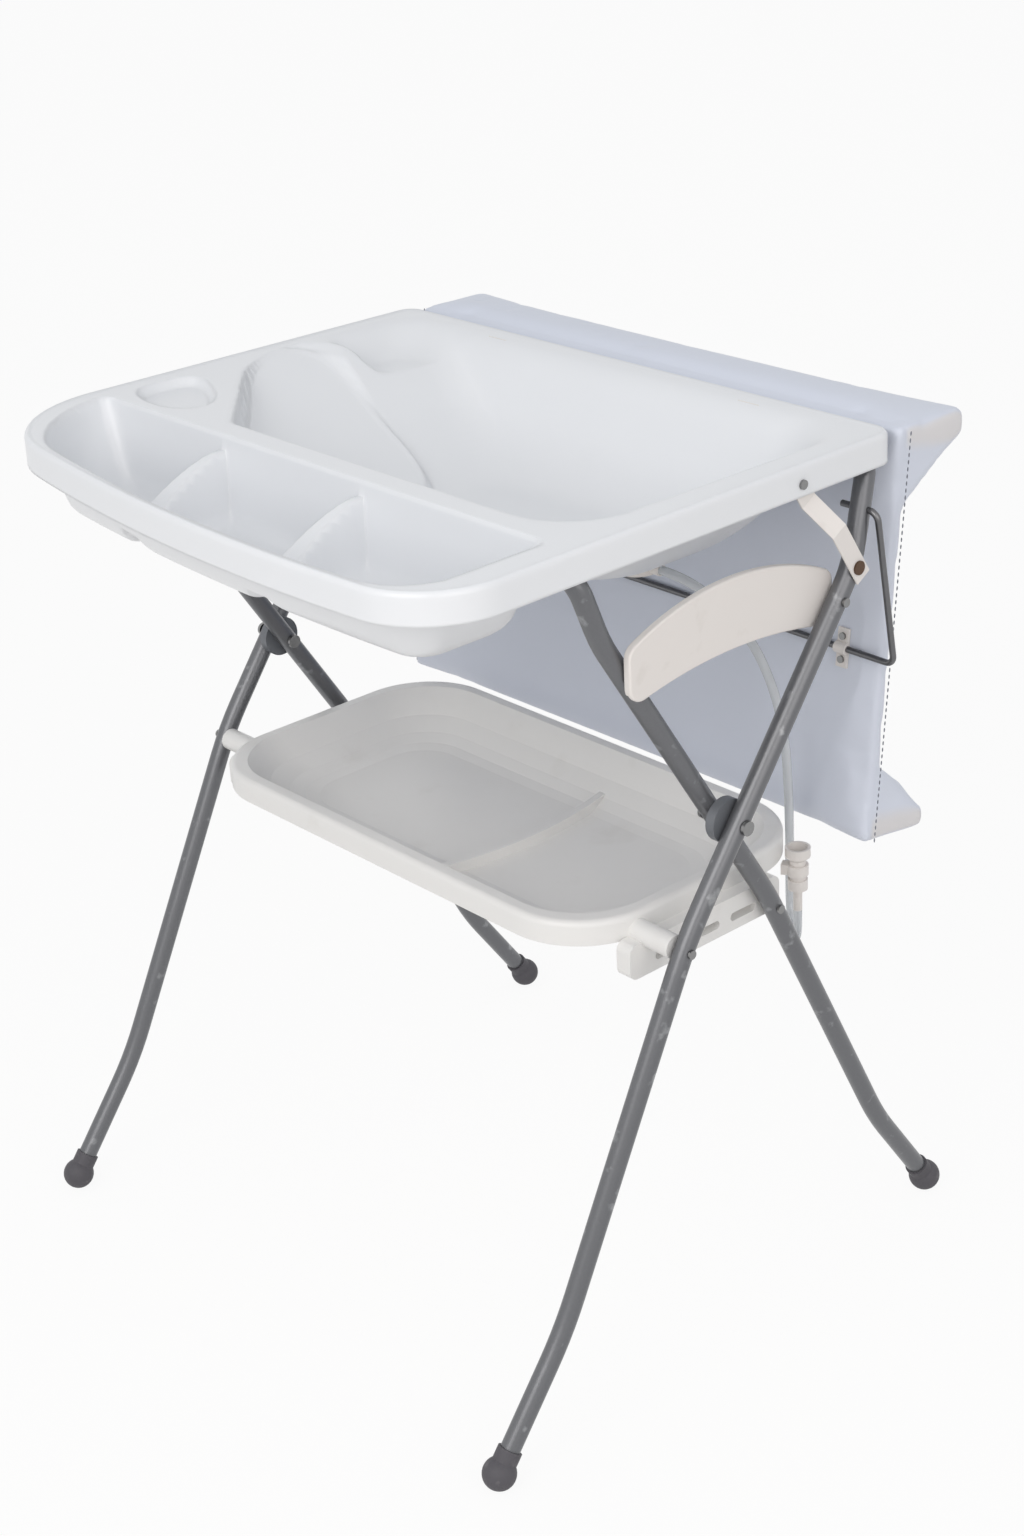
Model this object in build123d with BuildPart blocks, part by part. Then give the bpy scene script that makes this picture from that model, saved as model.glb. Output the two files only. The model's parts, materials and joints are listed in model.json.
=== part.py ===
"""A folding changing table with a baby bath: a scissor frame of steel tube carries a moulded tub,
a storage tray, and a padded changing panel that hangs behind the tub on a wire bail.

Millimetres. +Z is up, -Y is the parent's side (the bowed front of the tub) and +X the drain side.
The origin is on the floor, under the middle of the whole table."""

import math
import os

from build123d import *

os.makedirs("parts", exist_ok=True)

# The whole table
tub_reach = 402.0  # from the scissor pivots forward to the front of the rim
rear_rim_reach = 249.0  # from the pivots back to the rear edge of the rim
pad_gap = 13.0  # between the rear edge of the rim and the panel
pad_thickness = 24.0
bolster_depth = 88.0
pad_lean_loss = 1.0  # the panel leans, so it reaches back a little less than its thickness
pad_reach = rear_rim_reach + pad_gap + pad_thickness + bolster_depth - pad_lean_loss
pivot_y = (tub_reach - pad_reach) / 2
pivot_height = 630.0
tub_top = 985.0
overrun = 20.0  # how far a cutting shape runs past what it cuts
running = 0.05  # radial clearance of a pin in its hole
seat_gap = 0.3  # clearance between pieces that lie against each other

# Frame tube
tube_diameter = 22.0
tube_wall = 1.5
outer_half_span = 392.0  # middle of the table to the centre line of an outer leg
leg_gap = 12.0  # between an outer and an inner leg
tube_radius = tube_diameter / 2
inner_half_span = outer_half_span - tube_diameter - leg_gap
foot_radius = 18.5
foot_flat = 0.6  # how much of the ball is flattened by the floor
foot_height = foot_radius - foot_flat
foot_collar_radius = 13.5
foot_collar_length = 27.0

# Leg centre lines, as reaches from the pivots and heights from the floor
outer_foot_reach = 366.0
inner_foot_reach = 352.0
outer_low_reach = 268.0
inner_low_reach = 261.0
low_bend_height = 145.0
outer_bend_drop = 104.0  # the middle bend of an outer leg lies this far below the pivots
inner_bend_drop = 125.0
outer_high_bend = pivot_height - outer_bend_drop
inner_high_bend = pivot_height - inner_bend_drop
outer_top_drop = 125.0  # the upper bend of an outer leg lies this far below the rim
inner_top_drop = 119.0
outer_top_bend = tub_top - outer_top_drop
inner_top_bend = tub_top - inner_top_drop
outer_top_setback = 58.88  # how far short of its crossbar a leg's upper bend lies
inner_top_setback = 34.0
leg_bend_radius = 400.0
top_bend_radius = 180.0
crossbar_radius = 38.0
rear_bar_inboard = 19.0  # from the rear edge of the rim in to the rear crossbar
rear_bar_drop = 23.0  # below the top of the rim
rear_bar_reach = rear_rim_reach - rear_bar_inboard
rear_bar_y = pivot_y + rear_bar_reach
rear_bar_z = tub_top - rear_bar_drop
rear_bar_inset = 30.0  # how far the outer legs lean in before the rear crossbar
front_bar_share = 0.458  # of the reach: the front crossbar lies under the ridge of the tub
front_bar_reach = tub_reach * front_bar_share
front_bar_drop = 33.0
front_bar_y = pivot_y - front_bar_reach
outer_slope = (rear_bar_reach - outer_top_setback) / (outer_top_bend - pivot_height)
inner_slope = (front_bar_reach - inner_top_setback) / (inner_top_bend - pivot_height)
front_bar_z = tub_top - front_bar_drop
bar_joint_share = 0.3  # where the crossbar is plugged on, along the top run of a leg

# Fasteners
pivot_bolt_radius = 4.0
pivot_head_radius = 8.0
pivot_head_height = 4.0
hub_radius = 24.0
screw_radius = 2.5
screw_head_radius = 5.0
screw_head_height = 2.6
small_head_radius = 4.0

# Tub
rim_inside_legs = 8.0  # how far the rear of the rim stops short of the outer legs' centre lines
tub_half_width = outer_half_span - rim_inside_legs
tub_flare = 11.0  # how much wider the rim is at its front corners
front_bow = 63.0  # how far the front stands out beyond its left corner
bow_peak_share = 0.39  # the bow stands out most to the right of the middle
bow_peak = tub_half_width * bow_peak_share
bow_corner_reach = tub_reach - front_bow
skirt_height = 34.0
tub_wall = 3.5
rim_rounding = 7.0
left_corner_radius = 150.0
right_corner_radius = 95.0
rear_corner_radius = 24.0
basin_depth = 120.0
basin_bottom_radius = 55.0
basin_corner = 42.0
left_deck = 39.0  # flat rim beside the basin
right_deck = 42.0
rear_deck = 33.0
basin_left = tub_half_width - left_deck
basin_right = tub_half_width - right_deck
basin_before_bar = 21.0  # from the front crossbar back to the basin
basin_front = front_bar_reach - basin_before_bar
basin_rear = rear_rim_reach - rear_deck
basin_cut = 95.0  # the plan's cut corner beside the soap dish
floor_right_slope = 52.0  # how far each wall leans in over the depth
floor_front_slope = 75.0
floor_rear_slope = 64.0
recline_slope = 290.0  # the long slope that the baby leans on
floor_left = basin_left - recline_slope
floor_right = basin_right - floor_right_slope
floor_front = basin_front - floor_front_slope
floor_rear = basin_rear - floor_rear_slope
bay_depth = 104.0
bay_before_bar = 23.0  # from the front crossbar forward to the compartments
bay_back = front_bar_reach + bay_before_bar
bay_rim = 12.0  # rim in front of the compartments
bay_end_rim = 14.0
bay_front = tub_reach - bay_rim
bay_half_width = tub_half_width - bay_end_rim
bay_front_share = 0.33  # of a compartment's reach that its leaning front takes
bay_front_draft = (bay_front - bay_back) * bay_front_share
bay_left_corner = 130.0  # at the top; all front corners tighten towards the floor
bay_right_corner = 56.0
bay_floor_corner = 24.0
bay_back_corner = 14.0
bay_floor_radius = 24.0
bay_back_draft = 10.0
bay_side_draft = 50.0
divider_shares = (-0.39, 0.21)  # where the dividers stand, as shares of the half width
bay_dividers = [share * tub_half_width for share in divider_shares]
divider_width = 6.0
divider_draft = 9.0
divider_drop = 30.0
divider_front_drop = 70.0
dish_length = 84.0
dish_width = 62.0
dish_depth = 9.0
dish_inset = 56.0
dish_reach = 128.0
dish_x = -(tub_half_width - dish_inset)
dish_y = pivot_y - dish_reach
recess_length = 130.0
recess_width = 116.0
recess_depth = 30.0
recess_rounding = 18.0
notch_height = 28.0
notch_width = 54.0
saddle_share = 0.52  # of the tub's half width
saddle_x = tub_half_width * saddle_share
saddle_width = 30.0
saddle_drop = 7.0

# Drain
drain_inset = 137.0  # from the right edge of the basin
drain_reach = 50.0
drain_x = basin_right - drain_inset
drain_y = pivot_y + drain_reach
drain_radius = 16.0
outlet_radius = 22.0
outlet_drop = 17.0
nozzle_radius = 6.5
nozzle_length = 35.0
plug_knob_radius = 5.0
plug_knob_height = 9.0
hose_radius = 5.0
hose_bore = 3.5

# Straps between the tub's skirt and the outer legs
strap_width = 21.0
strap_thickness = 2.0
strap_screw_reach = 103.0
strap_screw_drop = 21.0
strap_screw_y = pivot_y + strap_screw_reach
strap_screw_z = tub_top - strap_screw_drop
strap_run = 119.0
strap_angle = 58.0  # degrees below the horizontal
strap_top_end = 11.0
strap_tail = 15.0
strap_crank_start = 26.0
strap_crank_end = 64.0
rivet_radius = 7.5
rivet_hole_radius = 3.2

# Arched brace plates between the legs
brace_clearance = 1.2
brace_thickness = leg_gap - 2 * brace_clearance
brace_rounding = 2.5
brace_peg_radius = 4.0
brace_rise_share = 0.22  # of the span between its screws
brace_depth_share = 0.265
brace_front_share = 0.08  # the plate's corners, as shares of its depth
brace_rear_share = 0.1
brace_shoulder_share = 0.36
brace_low_share = 0.46
brace_arch_share = 0.2
brace_corner_share = 0.22
brace_height_share = 0.56338  # of the way from the pivots up to the rim
brace_pivot_z = pivot_height + (tub_top - pivot_height) * brace_height_share

# Tray
tray_to_leg = 30.0  # from the tray's rim to an inner leg's centre line
tray_half_width = inner_half_span - tray_to_leg
tray_front = 166.0
tray_rear = 195.0
tray_drop = 92.0  # below the scissor pivots
tray_top = pivot_height - tray_drop
tray_skirt = 28.0
tray_wall = 3.0
tray_lip = 17.0
tray_depth = 50.0
tray_corner = 95.0
tray_draft = 34.0
ridge_height = 12.0
ridge_width = 9.0
ridge_x = 52.0
ridge_bow = 18.0
bracket_half_length = 112.0
bracket_height = 40.0
bracket_thickness = 20.0
bracket_overlap = 4.0  # of a bracket and the skirt above it
bracket_top = tray_top - tray_skirt + bracket_overlap
bracket_slots = 3
slot_length_share = 0.7
slot_height_share = 0.24
slot_drop_share = 0.6
tray_pivot_drop = 21.0  # the screws lie this far below the tray's rim
tray_latch_drop = 48.0
tray_pivot_z = tray_top - tray_pivot_drop
tray_latch_z = tray_top - tray_latch_drop
tray_boss_radius = 13.0
bracket_clearance = 2.0  # between a bracket and an inner leg

# Hose connector and its clip
connector_stand = 2.0  # the connector stands this far outside the tray's end
connector_reach = 158.0
connector_height = 77.0
connector_drop = 14.0
connector_x = tray_half_width + connector_stand
connector_y = pivot_y + connector_reach
connector_top = tray_top - connector_drop
connector_foot = connector_top - connector_height
mouth_radius = 14.0
neck_radius = 9.0
mouth_inner_radius = 11.2
bore_radius = 5.4
step_radius = 11.0
stem_radius = 5.0
clip_height = 12.0
clip_wall = 2.6
clip_share = 0.65  # height of the clip on the connector

# Bail
bail_radius = 3.5
bail_stand = 8.0  # the bail's arms lie this far outside the outer legs' centre lines
bail_arm_x = outer_half_span + bail_stand
bail_bend = 11.0
bail_pin_inset = 24.0
bail_share = 0.5  # where the bail is hung, along the top run of an outer leg
rod_share = 0.4622  # height of the rod, as a share of the panel's

# Changing panel
pad_inside_legs = 6.0
pad_above_tub = 5.0
pad_drop = 476.0
pad_lean = 52.0  # how far the panel's foot hangs in front of its head
pad_half_width = outer_half_span - pad_inside_legs
pad_top_y = pivot_y + rear_rim_reach + pad_gap
pad_top_z = tub_top + pad_above_tub
pad_bottom_y = pad_top_y - pad_lean
pad_bottom_z = pad_top_z - pad_drop
pad_crown = 2.0
pad_corner = 10.0
pad_board_thickness = 4.0
pad_board_margin = 26.0
bolster_base = 100.0
bolster_tip = 38.0
low_bolster_depth = 84.0
low_bolster_base = 92.0
low_bolster_tip = 20.0
rod_clip_inset = 58.0
rod_clip_x = pad_half_width - rod_clip_inset
rod_clip_width = 15.0
rod_clip_length = 44.0
rod_clip_thickness = 3.0
rod_clip_screw_pitch = 26.0


def keep(piece, name):
    """Label a finished piece and write its file."""
    piece.part.label = name
    export_step(piece.part, "parts/" + name + ".step")


# Leg centre lines, from the foot up to the corner of the crossbar
def outer_line(side):
    """Points of one outer leg and its half of the rear crossbar."""
    x = side * outer_half_span
    return [
        (x, pivot_y - outer_foot_reach, foot_height),
        (x, pivot_y - outer_low_reach, low_bend_height),
        (x, pivot_y - (pivot_height - outer_high_bend) * outer_slope, outer_high_bend),
        (x, pivot_y + (outer_top_bend - pivot_height) * outer_slope, outer_top_bend),
        (side * (outer_half_span - rear_bar_inset), rear_bar_y, rear_bar_z),
    ]


def inner_line(side):
    """Points of one inner leg and its half of the front crossbar."""
    x = side * inner_half_span
    return [
        (x, pivot_y + inner_foot_reach, foot_height),
        (x, pivot_y + inner_low_reach, low_bend_height),
        (x, pivot_y + (pivot_height - inner_high_bend) * inner_slope, inner_high_bend),
        (x, pivot_y - (inner_top_bend - pivot_height) * inner_slope, inner_top_bend),
        (x, front_bar_y, front_bar_z),
    ]


def between(a, b, share):
    """The point that lies the given share of the way from a to b."""
    return tuple(p + (q - p) * share for p, q in zip(a, b))


def x_cylinder(x_start, length, y, z, radius, mode=Mode.ADD):
    """A round bar along X from a starting plane."""
    with BuildSketch(Plane.YZ.offset(x_start)) as disc:
        with Locations((y, z)):
            Circle(radius)
    extrude(disc.sketch, amount=length, mode=mode)


def cross_hole(x, y, z, radius, length):
    """A round hole along X, centred on a point."""
    x_cylinder(x - length / 2, length, y, z, radius, Mode.SUBTRACT)


def tube_ring():
    """The section of the frame tube."""
    Circle(tube_radius)
    Circle(tube_radius - tube_wall, mode=Mode.SUBTRACT)


def leg(line, holes):
    """A leg of hollow tube along its centre line, with its cross holes."""
    start, low, high, top, corner = line
    end = between(top, corner, bar_joint_share)
    with BuildPart() as tube:
        with BuildLine() as path:
            bends = [leg_bend_radius, leg_bend_radius, top_bend_radius]
            FilletPolyline(start, low, high, top, end, radius=bends)
        with BuildSketch(path.line ^ 0):
            tube_ring()
        sweep(path=path.line)
        for y, z, radius in holes:
            cross_hole(start[0], y, z, radius, tube_diameter + overrun)
    return tube


def crossbar(right, left):
    """The bent bar that joins two legs, plugged on at their top runs."""
    joint_right = between(right[-2], right[-1], bar_joint_share)
    joint_left = between(left[-2], left[-1], bar_joint_share)
    with BuildPart() as bar:
        with BuildLine() as path:
            FilletPolyline(joint_right, right[-1], left[-1], joint_left, radius=crossbar_radius)
        with BuildSketch(path.line ^ 0):
            tube_ring()
        sweep(path=path.line)
    return bar


outer_right = outer_line(1)
outer_left = outer_line(-1)
inner_right = inner_line(1)
inner_left = inner_line(-1)

# Places on the legs that other pieces share
bail_pivot = between(outer_right[3], outer_right[4], bail_share)
brace_pivot_y = pivot_y + (brace_pivot_z - pivot_height) * outer_slope
brace_peg_z = brace_pivot_z - 2 * running
brace_peg_y = pivot_y - (brace_peg_z - pivot_height) * inner_slope


def lower_y(line, z):
    """Where a leg's long lower run passes a height."""
    low, high = line[1], line[2]
    return low[1] + (high[1] - low[1]) * (z - low[2]) / (high[2] - low[2])


tray_pivot_y = lower_y(outer_right, tray_pivot_z)
tray_latch_y = lower_y(inner_right, tray_latch_z)

outer_holes = [
    (pivot_y, pivot_height, pivot_bolt_radius + running),
    (brace_pivot_y, brace_pivot_z, screw_radius + running),
    (tray_pivot_y, tray_pivot_z, screw_radius + running),
]
inner_holes = [
    (pivot_y, pivot_height, pivot_bolt_radius + running),
    (brace_peg_y, brace_peg_z, screw_radius + running),
    (tray_latch_y, tray_latch_z, screw_radius + running),
]

outer_leg_right = leg(outer_right, outer_holes)
keep(outer_leg_right, "outer_leg_right")
outer_leg_left = leg(outer_left, outer_holes)
keep(outer_leg_left, "outer_leg_left")
inner_leg_right = leg(inner_right, inner_holes)
keep(inner_leg_right, "inner_leg_right")
inner_leg_left = leg(inner_left, inner_holes)
keep(inner_leg_left, "inner_leg_left")

with BuildPart() as rear_crossbar:
    add(crossbar(outer_right, outer_left).part)
    # the bail's pins turn in these holes
    for side in (1, -1):
        x, y, z = bail_pivot
        cross_hole(side * x, y, z, bail_radius + running, tube_diameter + overrun)
keep(rear_crossbar, "rear_crossbar")

front_crossbar = crossbar(inner_right, inner_left)
keep(front_crossbar, "front_crossbar")


def feet(lines):
    """Two rubber balls with collars, pushed on the ends of the legs."""
    with BuildPart() as pair:
        for line in lines:
            foot, up = Vector(*line[0]), Vector(*line[1]) - Vector(*line[0])
            along = Plane(origin=foot, z_dir=up)
            with Locations(foot):
                Sphere(foot_radius)
            with BuildSketch(along):
                Circle(foot_collar_radius)
            extrude(amount=foot_collar_length)
            with BuildSketch(along):
                Circle(tube_radius)
            extrude(amount=foot_collar_length + overrun, mode=Mode.SUBTRACT)
        split(bisect_by=Plane.XY, keep=Keep.TOP)
    return pair


outer_feet = feet([outer_right, outer_left])
keep(outer_feet, "outer_feet")
inner_feet = feet([inner_right, inner_left])
keep(inner_feet, "inner_feet")


# Pivots of the scissor
hub_start = inner_half_span + tube_radius + seat_gap
hub_thickness = leg_gap - 2 * seat_gap

with BuildPart() as pivot_hubs:
    for side in (1, -1):
        x_cylinder(side * hub_start, side * hub_thickness, pivot_y, pivot_height, hub_radius)
        x_cylinder(
            side * hub_start, side * hub_thickness, pivot_y, pivot_height,
            pivot_bolt_radius + running, Mode.SUBTRACT,
        )
keep(pivot_hubs, "pivot_hubs")

bolt_start = inner_half_span - tube_radius
bolt_length = tube_diameter * 2 + leg_gap

with BuildPart() as pivot_bolts:
    for side in (1, -1):
        x_cylinder(side * bolt_start, side * bolt_length, pivot_y, pivot_height, pivot_bolt_radius)
        for start, way in ((bolt_start - seat_gap, -1), (bolt_start + bolt_length + seat_gap, 1)):
            x_cylinder(
                side * start, side * way * pivot_head_height, pivot_y, pivot_height, pivot_head_radius
            )
            x_cylinder(side * start, -side * way * seat_gap, pivot_y, pivot_height, pivot_bolt_radius)
keep(pivot_bolts, "pivot_bolts")


def screws(places):
    """Button-headed screws along X: side, head plane, tip plane, height and depth of each."""
    with BuildPart() as group:
        for head_x, tip_x, y, z in places:
            for side in (1, -1):
                way = 1 if head_x > tip_x else -1
                x_cylinder(side * tip_x, side * (head_x - tip_x), y, z, screw_radius)
                x_cylinder(side * head_x, side * way * screw_head_height, y, z, screw_head_radius)
    return group


# The arched brace plates lie in the gap between the legs, hinged on the outer ones
brace_x = inner_half_span + tube_radius + (leg_gap - brace_thickness) / 2
brace_span = brace_pivot_y - brace_peg_y
brace_rise = brace_span * brace_rise_share
brace_depth = brace_span * brace_depth_share
brace_middle_y = (brace_pivot_y + brace_peg_y) / 2
brace_front_y = brace_peg_y - brace_depth * brace_front_share
brace_rear_y = brace_pivot_y + brace_depth * brace_rear_share
brace_shoulder_z = brace_pivot_z + brace_depth * brace_shoulder_share
brace_low_z = brace_pivot_z - brace_depth * brace_low_share
brace_arch_z = brace_pivot_z - brace_depth * brace_arch_share

with BuildPart() as brace_right:
    with BuildSketch(Plane.YZ.offset(brace_x)):
        with BuildLine():
            top_arc = ThreePointArc(
                (brace_front_y, brace_shoulder_z),
                (brace_middle_y, brace_pivot_z + brace_rise),
                (brace_rear_y, brace_shoulder_z),
            )
            Line(top_arc @ 1, (brace_rear_y, brace_low_z))
            low_arc = ThreePointArc(
                (brace_rear_y, brace_low_z), (brace_middle_y, brace_arch_z), (brace_front_y, brace_low_z)
            )
            Line(low_arc @ 1, top_arc @ 0)
        make_face()
        fillet(vertices(), radius=brace_depth * brace_corner_share)
    extrude(amount=brace_thickness)
    fillet(faces().filter_by(Axis.X).edges(), radius=brace_rounding)
    cross_hole(brace_x, brace_pivot_y, brace_pivot_z, screw_radius + running, 2 * brace_thickness + overrun)
    # a blind slot on the inboard face drops over the inner leg's peg
    with BuildSketch(Plane.YZ.offset(brace_x)):
        with BuildLine():
            slot_left = brace_peg_y - brace_peg_radius - seat_gap
            slot_top = brace_peg_z + brace_peg_radius + seat_gap
            Polyline(
                (slot_left, slot_top),
                (brace_peg_y + brace_depth, slot_top),
                (brace_peg_y + brace_depth, brace_peg_z - brace_depth),
                (slot_left, brace_peg_z - brace_depth),
                close=True,
            )
        make_face()
    extrude(amount=brace_thickness / 2, mode=Mode.SUBTRACT)
keep(brace_right, "brace_right")

with BuildPart() as brace_left:
    add(mirror(brace_right.part, about=Plane.YZ, mode=Mode.PRIVATE))
keep(brace_left, "brace_left")

brace_screws = screws(
    [(outer_half_span + tube_radius, brace_x + seat_gap, brace_pivot_y, brace_pivot_z)]
)
keep(brace_screws, "brace_screws")

with BuildPart() as brace_pegs:
    for side in (1, -1):
        start = inner_half_span - tube_radius
        x_cylinder(side * start, side * tube_diameter, brace_peg_y, brace_peg_z, screw_radius)
        x_cylinder(
            side * (inner_half_span + tube_radius), side * (leg_gap / 2 - seat_gap), brace_peg_y, brace_peg_z,
            brace_peg_radius,
        )
        x_cylinder(side * start, -side * screw_head_height, brace_peg_y, brace_peg_z, screw_head_radius)
keep(brace_pegs, "brace_pegs")


# Tub
side_run = bow_corner_reach + rear_rim_reach


def right_bow(left_bow, peak, wide):
    """The bow beyond the right corner, which lies nearer to the peak than the left one."""
    return left_bow * ((wide - peak) / (wide + peak)) ** 2


def rim_outline(inset=0.0):
    """The rim's plan: straight back, flared sides and a bowed front."""
    rear = pivot_y + rear_rim_reach - inset
    front = pivot_y - tub_reach + inset
    left_wide = tub_half_width + tub_flare - inset
    left_corner = (-left_wide, front + front_bow)
    right_y = front + right_bow(front_bow, bow_peak, left_wide)
    right_wide = tub_half_width + tub_flare * (rear - right_y) / side_run - inset
    narrow = tub_half_width - inset
    with BuildLine() as outline:
        Polyline(left_corner, (-narrow, rear), (narrow, rear), (right_wide, right_y))
        ThreePointArc((right_wide, right_y), (bow_peak, front), left_corner)
    make_face(outline.edges())
    fillet(vertices().sort_by(Axis.Y)[1], radius=left_corner_radius - inset)
    fillet(vertices().sort_by(Axis.Y)[0], radius=right_corner_radius - inset)
    fillet(vertices().group_by(Axis.Y)[-1], radius=rear_corner_radius - inset)


def quarter_round(depth, full_depth, radius):
    """How far the wall has curved in at a depth, above a rounded floor."""
    into = depth - (full_depth - radius)
    return radius - math.sqrt(radius**2 - into**2) if into > 0 else 0.0


basin_shares = (0.0, 0.54, 0.75, 0.9, 0.97, 1.0)
long_cut_share = 0.8  # how much of the cut corner runs along the side
short_cut_share = 0.2


def basin_form(grow, mode):
    """The basin as lofted sections, grown by a wall for its outside."""
    full = basin_depth + grow
    radius = basin_bottom_radius
    sections = []
    for share in basin_shares:
        depth = share * full
        turn = quarter_round(depth, full, radius) - grow
        t = depth / basin_depth
        left = -(basin_left + (floor_left - basin_left) * t) + turn
        right = basin_right + (floor_right - basin_right) * t - turn
        front = pivot_y - (basin_front + (floor_front - basin_front) * t) + turn
        rear = pivot_y + basin_rear + (floor_rear - basin_rear) * t - turn
        cut = basin_cut - basin_cut / 2 * t
        with BuildSketch(Plane.XY.offset(tub_top - depth)) as section:
            with BuildLine():
                Polyline(
                    (left, front + cut * long_cut_share), (left, rear), (right, rear),
                    (right, drain_y - overrun), (right - cut * short_cut_share, front),
                    (left + cut, front), close=True,
                )
            make_face()
            fillet(vertices(), radius=basin_corner)
        sections.append(section.sketch)
    loft(sections, ruled=True, mode=mode)


bay_shares = (0.0, 0.55, 0.82, 0.95, 1.0)
bay_flatten_share = 0.35


def bay_form(grow, first, last):
    """One front compartment between two lines across the tub, as lofted sections."""
    full = bay_depth + grow
    with BuildPart() as form:
        for share in bay_shares:
            depth = share * full
            t = depth / bay_depth
            turn = quarter_round(depth, full, bay_floor_radius) - grow
            rear = pivot_y - bay_back - bay_back_draft * t - turn
            front = pivot_y - bay_front + bay_front_draft * t + turn
            wide = bay_half_width - bay_side_draft * t - turn
            peak = bow_peak_share * wide
            bow = front_bow * (wide / tub_half_width) ** 2 * (1 - bay_flatten_share * t)
            left_corner = (-wide, front + bow)
            right_corner = (wide, front + right_bow(bow, peak, wide))
            with BuildSketch(Plane.XY.offset(tub_top - depth)):
                with BuildLine():
                    Polyline(left_corner, (-wide, rear), (wide, rear), right_corner)
                    ThreePointArc(right_corner, (peak, front), left_corner)
                make_face()
                fillet(vertices().group_by(Axis.Y)[-1], radius=bay_back_corner)
                left_round = bay_left_corner + (bay_floor_corner - bay_left_corner) * t
                right_round = bay_right_corner + (bay_floor_corner - bay_right_corner) * t
                fillet(vertices().sort_by(Axis.Y)[1], radius=left_round)
                fillet(vertices().sort_by(Axis.Y)[0], radius=right_round)
        loft(ruled=True)
        # the two cross walls lean in towards the floor
        for place, way in ((first, 1), (last, -1)):
            if place is not None:
                top_x = place + way * (divider_width / 2 - grow)
                low_x = top_x + way * divider_draft
                far = tub_half_width + outer_half_span + tub_reach
                with BuildSketch(Plane.XZ.offset(-pivot_y)):
                    with BuildLine():
                        Polyline(
                            (top_x, tub_top + overrun),
                            (low_x, tub_top - full - overrun),
                            (low_x - way * far, tub_top - full - overrun),
                            (low_x - way * far, tub_top + overrun),
                            close=True,
                        )
                    make_face()
                extrude(amount=2 * tub_reach, mode=Mode.SUBTRACT)
    return form


bay_walls = [(None, bay_dividers[0]), bay_dividers, (bay_dividers[1], None)]
bay_outers = [bay_form(tub_wall, first, last) for first, last in bay_walls]
bay_inners = [bay_form(0.0, first, last) for first, last in bay_walls]

with BuildPart() as bay_mouth:
    # the dividers stop short of the rim and fall away towards the front
    with BuildSketch(Plane.YZ.offset(-bay_half_width - overrun)):
        with BuildLine():
            rear_y = pivot_y - bay_back
            front_y = pivot_y - bay_front
            Polyline(
                (rear_y + overrun, tub_top + overrun),
                (rear_y + overrun, tub_top - divider_drop),
                (rear_y - overrun, tub_top - divider_drop),
                (rear_y - 4 * overrun, tub_top - divider_front_drop),
                (front_y - overrun, tub_top - divider_front_drop),
                (front_y - overrun, tub_top + overrun),
                close=True,
            )
        make_face()
    extrude(amount=2 * (bay_half_width + overrun))
    whole_bay = bay_form(0.0, None, None)
    add(whole_bay.part, mode=Mode.INTERSECT)

with BuildPart() as tub_shell:
    with BuildSketch(Plane.XY.offset(tub_top - skirt_height)):
        rim_outline()
    extrude(amount=skirt_height)
    fillet(faces().sort_by(Axis.Z)[-1].edges(), radius=rim_rounding)
    with BuildSketch(Plane.XY.offset(tub_top - skirt_height)):
        rim_outline(tub_wall)
    extrude(amount=skirt_height - tub_wall, mode=Mode.SUBTRACT)
    basin_form(tub_wall, Mode.ADD)
    for form in bay_outers:
        add(form.part)
    # a soap dish and a corner recess beside the basin
    recess_x = -(basin_left - recess_length / 2)
    recess_y = pivot_y + basin_rear - tub_wall - recess_width / 2
    dish_and_recess = [
        (dish_x, dish_y, dish_length, dish_width, dish_depth),
        (recess_x, recess_y, recess_length, recess_width, recess_depth),
    ]
    for x, y, length, width, depth in dish_and_recess:
        with BuildSketch(Plane.XY.offset(tub_top - depth - tub_wall)):
            with Locations((x, y)):
                RectangleRounded(length + 2 * tub_wall, width + 2 * tub_wall, recess_rounding)
        extrude(amount=depth)
    basin_form(0.0, Mode.SUBTRACT)
    for form in bay_inners:
        add(form.part, mode=Mode.SUBTRACT)
    add(bay_mouth.part, mode=Mode.SUBTRACT)
    for x, y, length, width, depth in dish_and_recess:
        with BuildSketch(Plane.XY.offset(tub_top - depth)):
            with Locations((x, y)):
                RectangleRounded(length, width, recess_rounding - tub_wall)
        extrude(amount=depth + overrun, mode=Mode.SUBTRACT)
    # the drain hole
    with BuildSketch(Plane.XY.offset(tub_top - basin_depth - tub_wall - overrun)):
        with Locations((drain_x, drain_y)):
            Circle(drain_radius)
    extrude(amount=2 * overrun, mode=Mode.SUBTRACT)
    # the rear skirt is open where the outer legs come up through it
    for side in (1, -1):
        with BuildSketch(Plane.XY.offset(tub_top - skirt_height - overrun)):
            with Locations((side * (tub_half_width - tub_wall - notch_width / 2), pivot_y + rear_rim_reach)):
                Rectangle(notch_width, 2 * overrun)
        extrude(amount=notch_height + overrun, mode=Mode.SUBTRACT)
        cross_hole(
            side * tub_half_width, strap_screw_y, strap_screw_z, screw_radius + running, 2 * overrun
        )
keep(tub_shell, "tub_shell")

with BuildPart() as tub_saddles:
    rear_inside = pivot_y + rear_rim_reach - tub_wall
    for side in (1, -1):
        with BuildSketch(Plane.YZ.offset(side * saddle_x - saddle_width / 2)):
            with BuildLine():
                front = rear_bar_y - tube_radius / 2
                low = rear_bar_z - saddle_drop
                high = tub_top - tub_wall
                Polyline((front, low), (rear_inside, low), (rear_inside, high), (front, high), close=True)
            make_face()
            with Locations((rear_bar_y, rear_bar_z)):
                Circle(tube_radius + running, mode=Mode.SUBTRACT)
        extrude(amount=saddle_width)
keep(tub_saddles, "tub_saddles")

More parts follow.
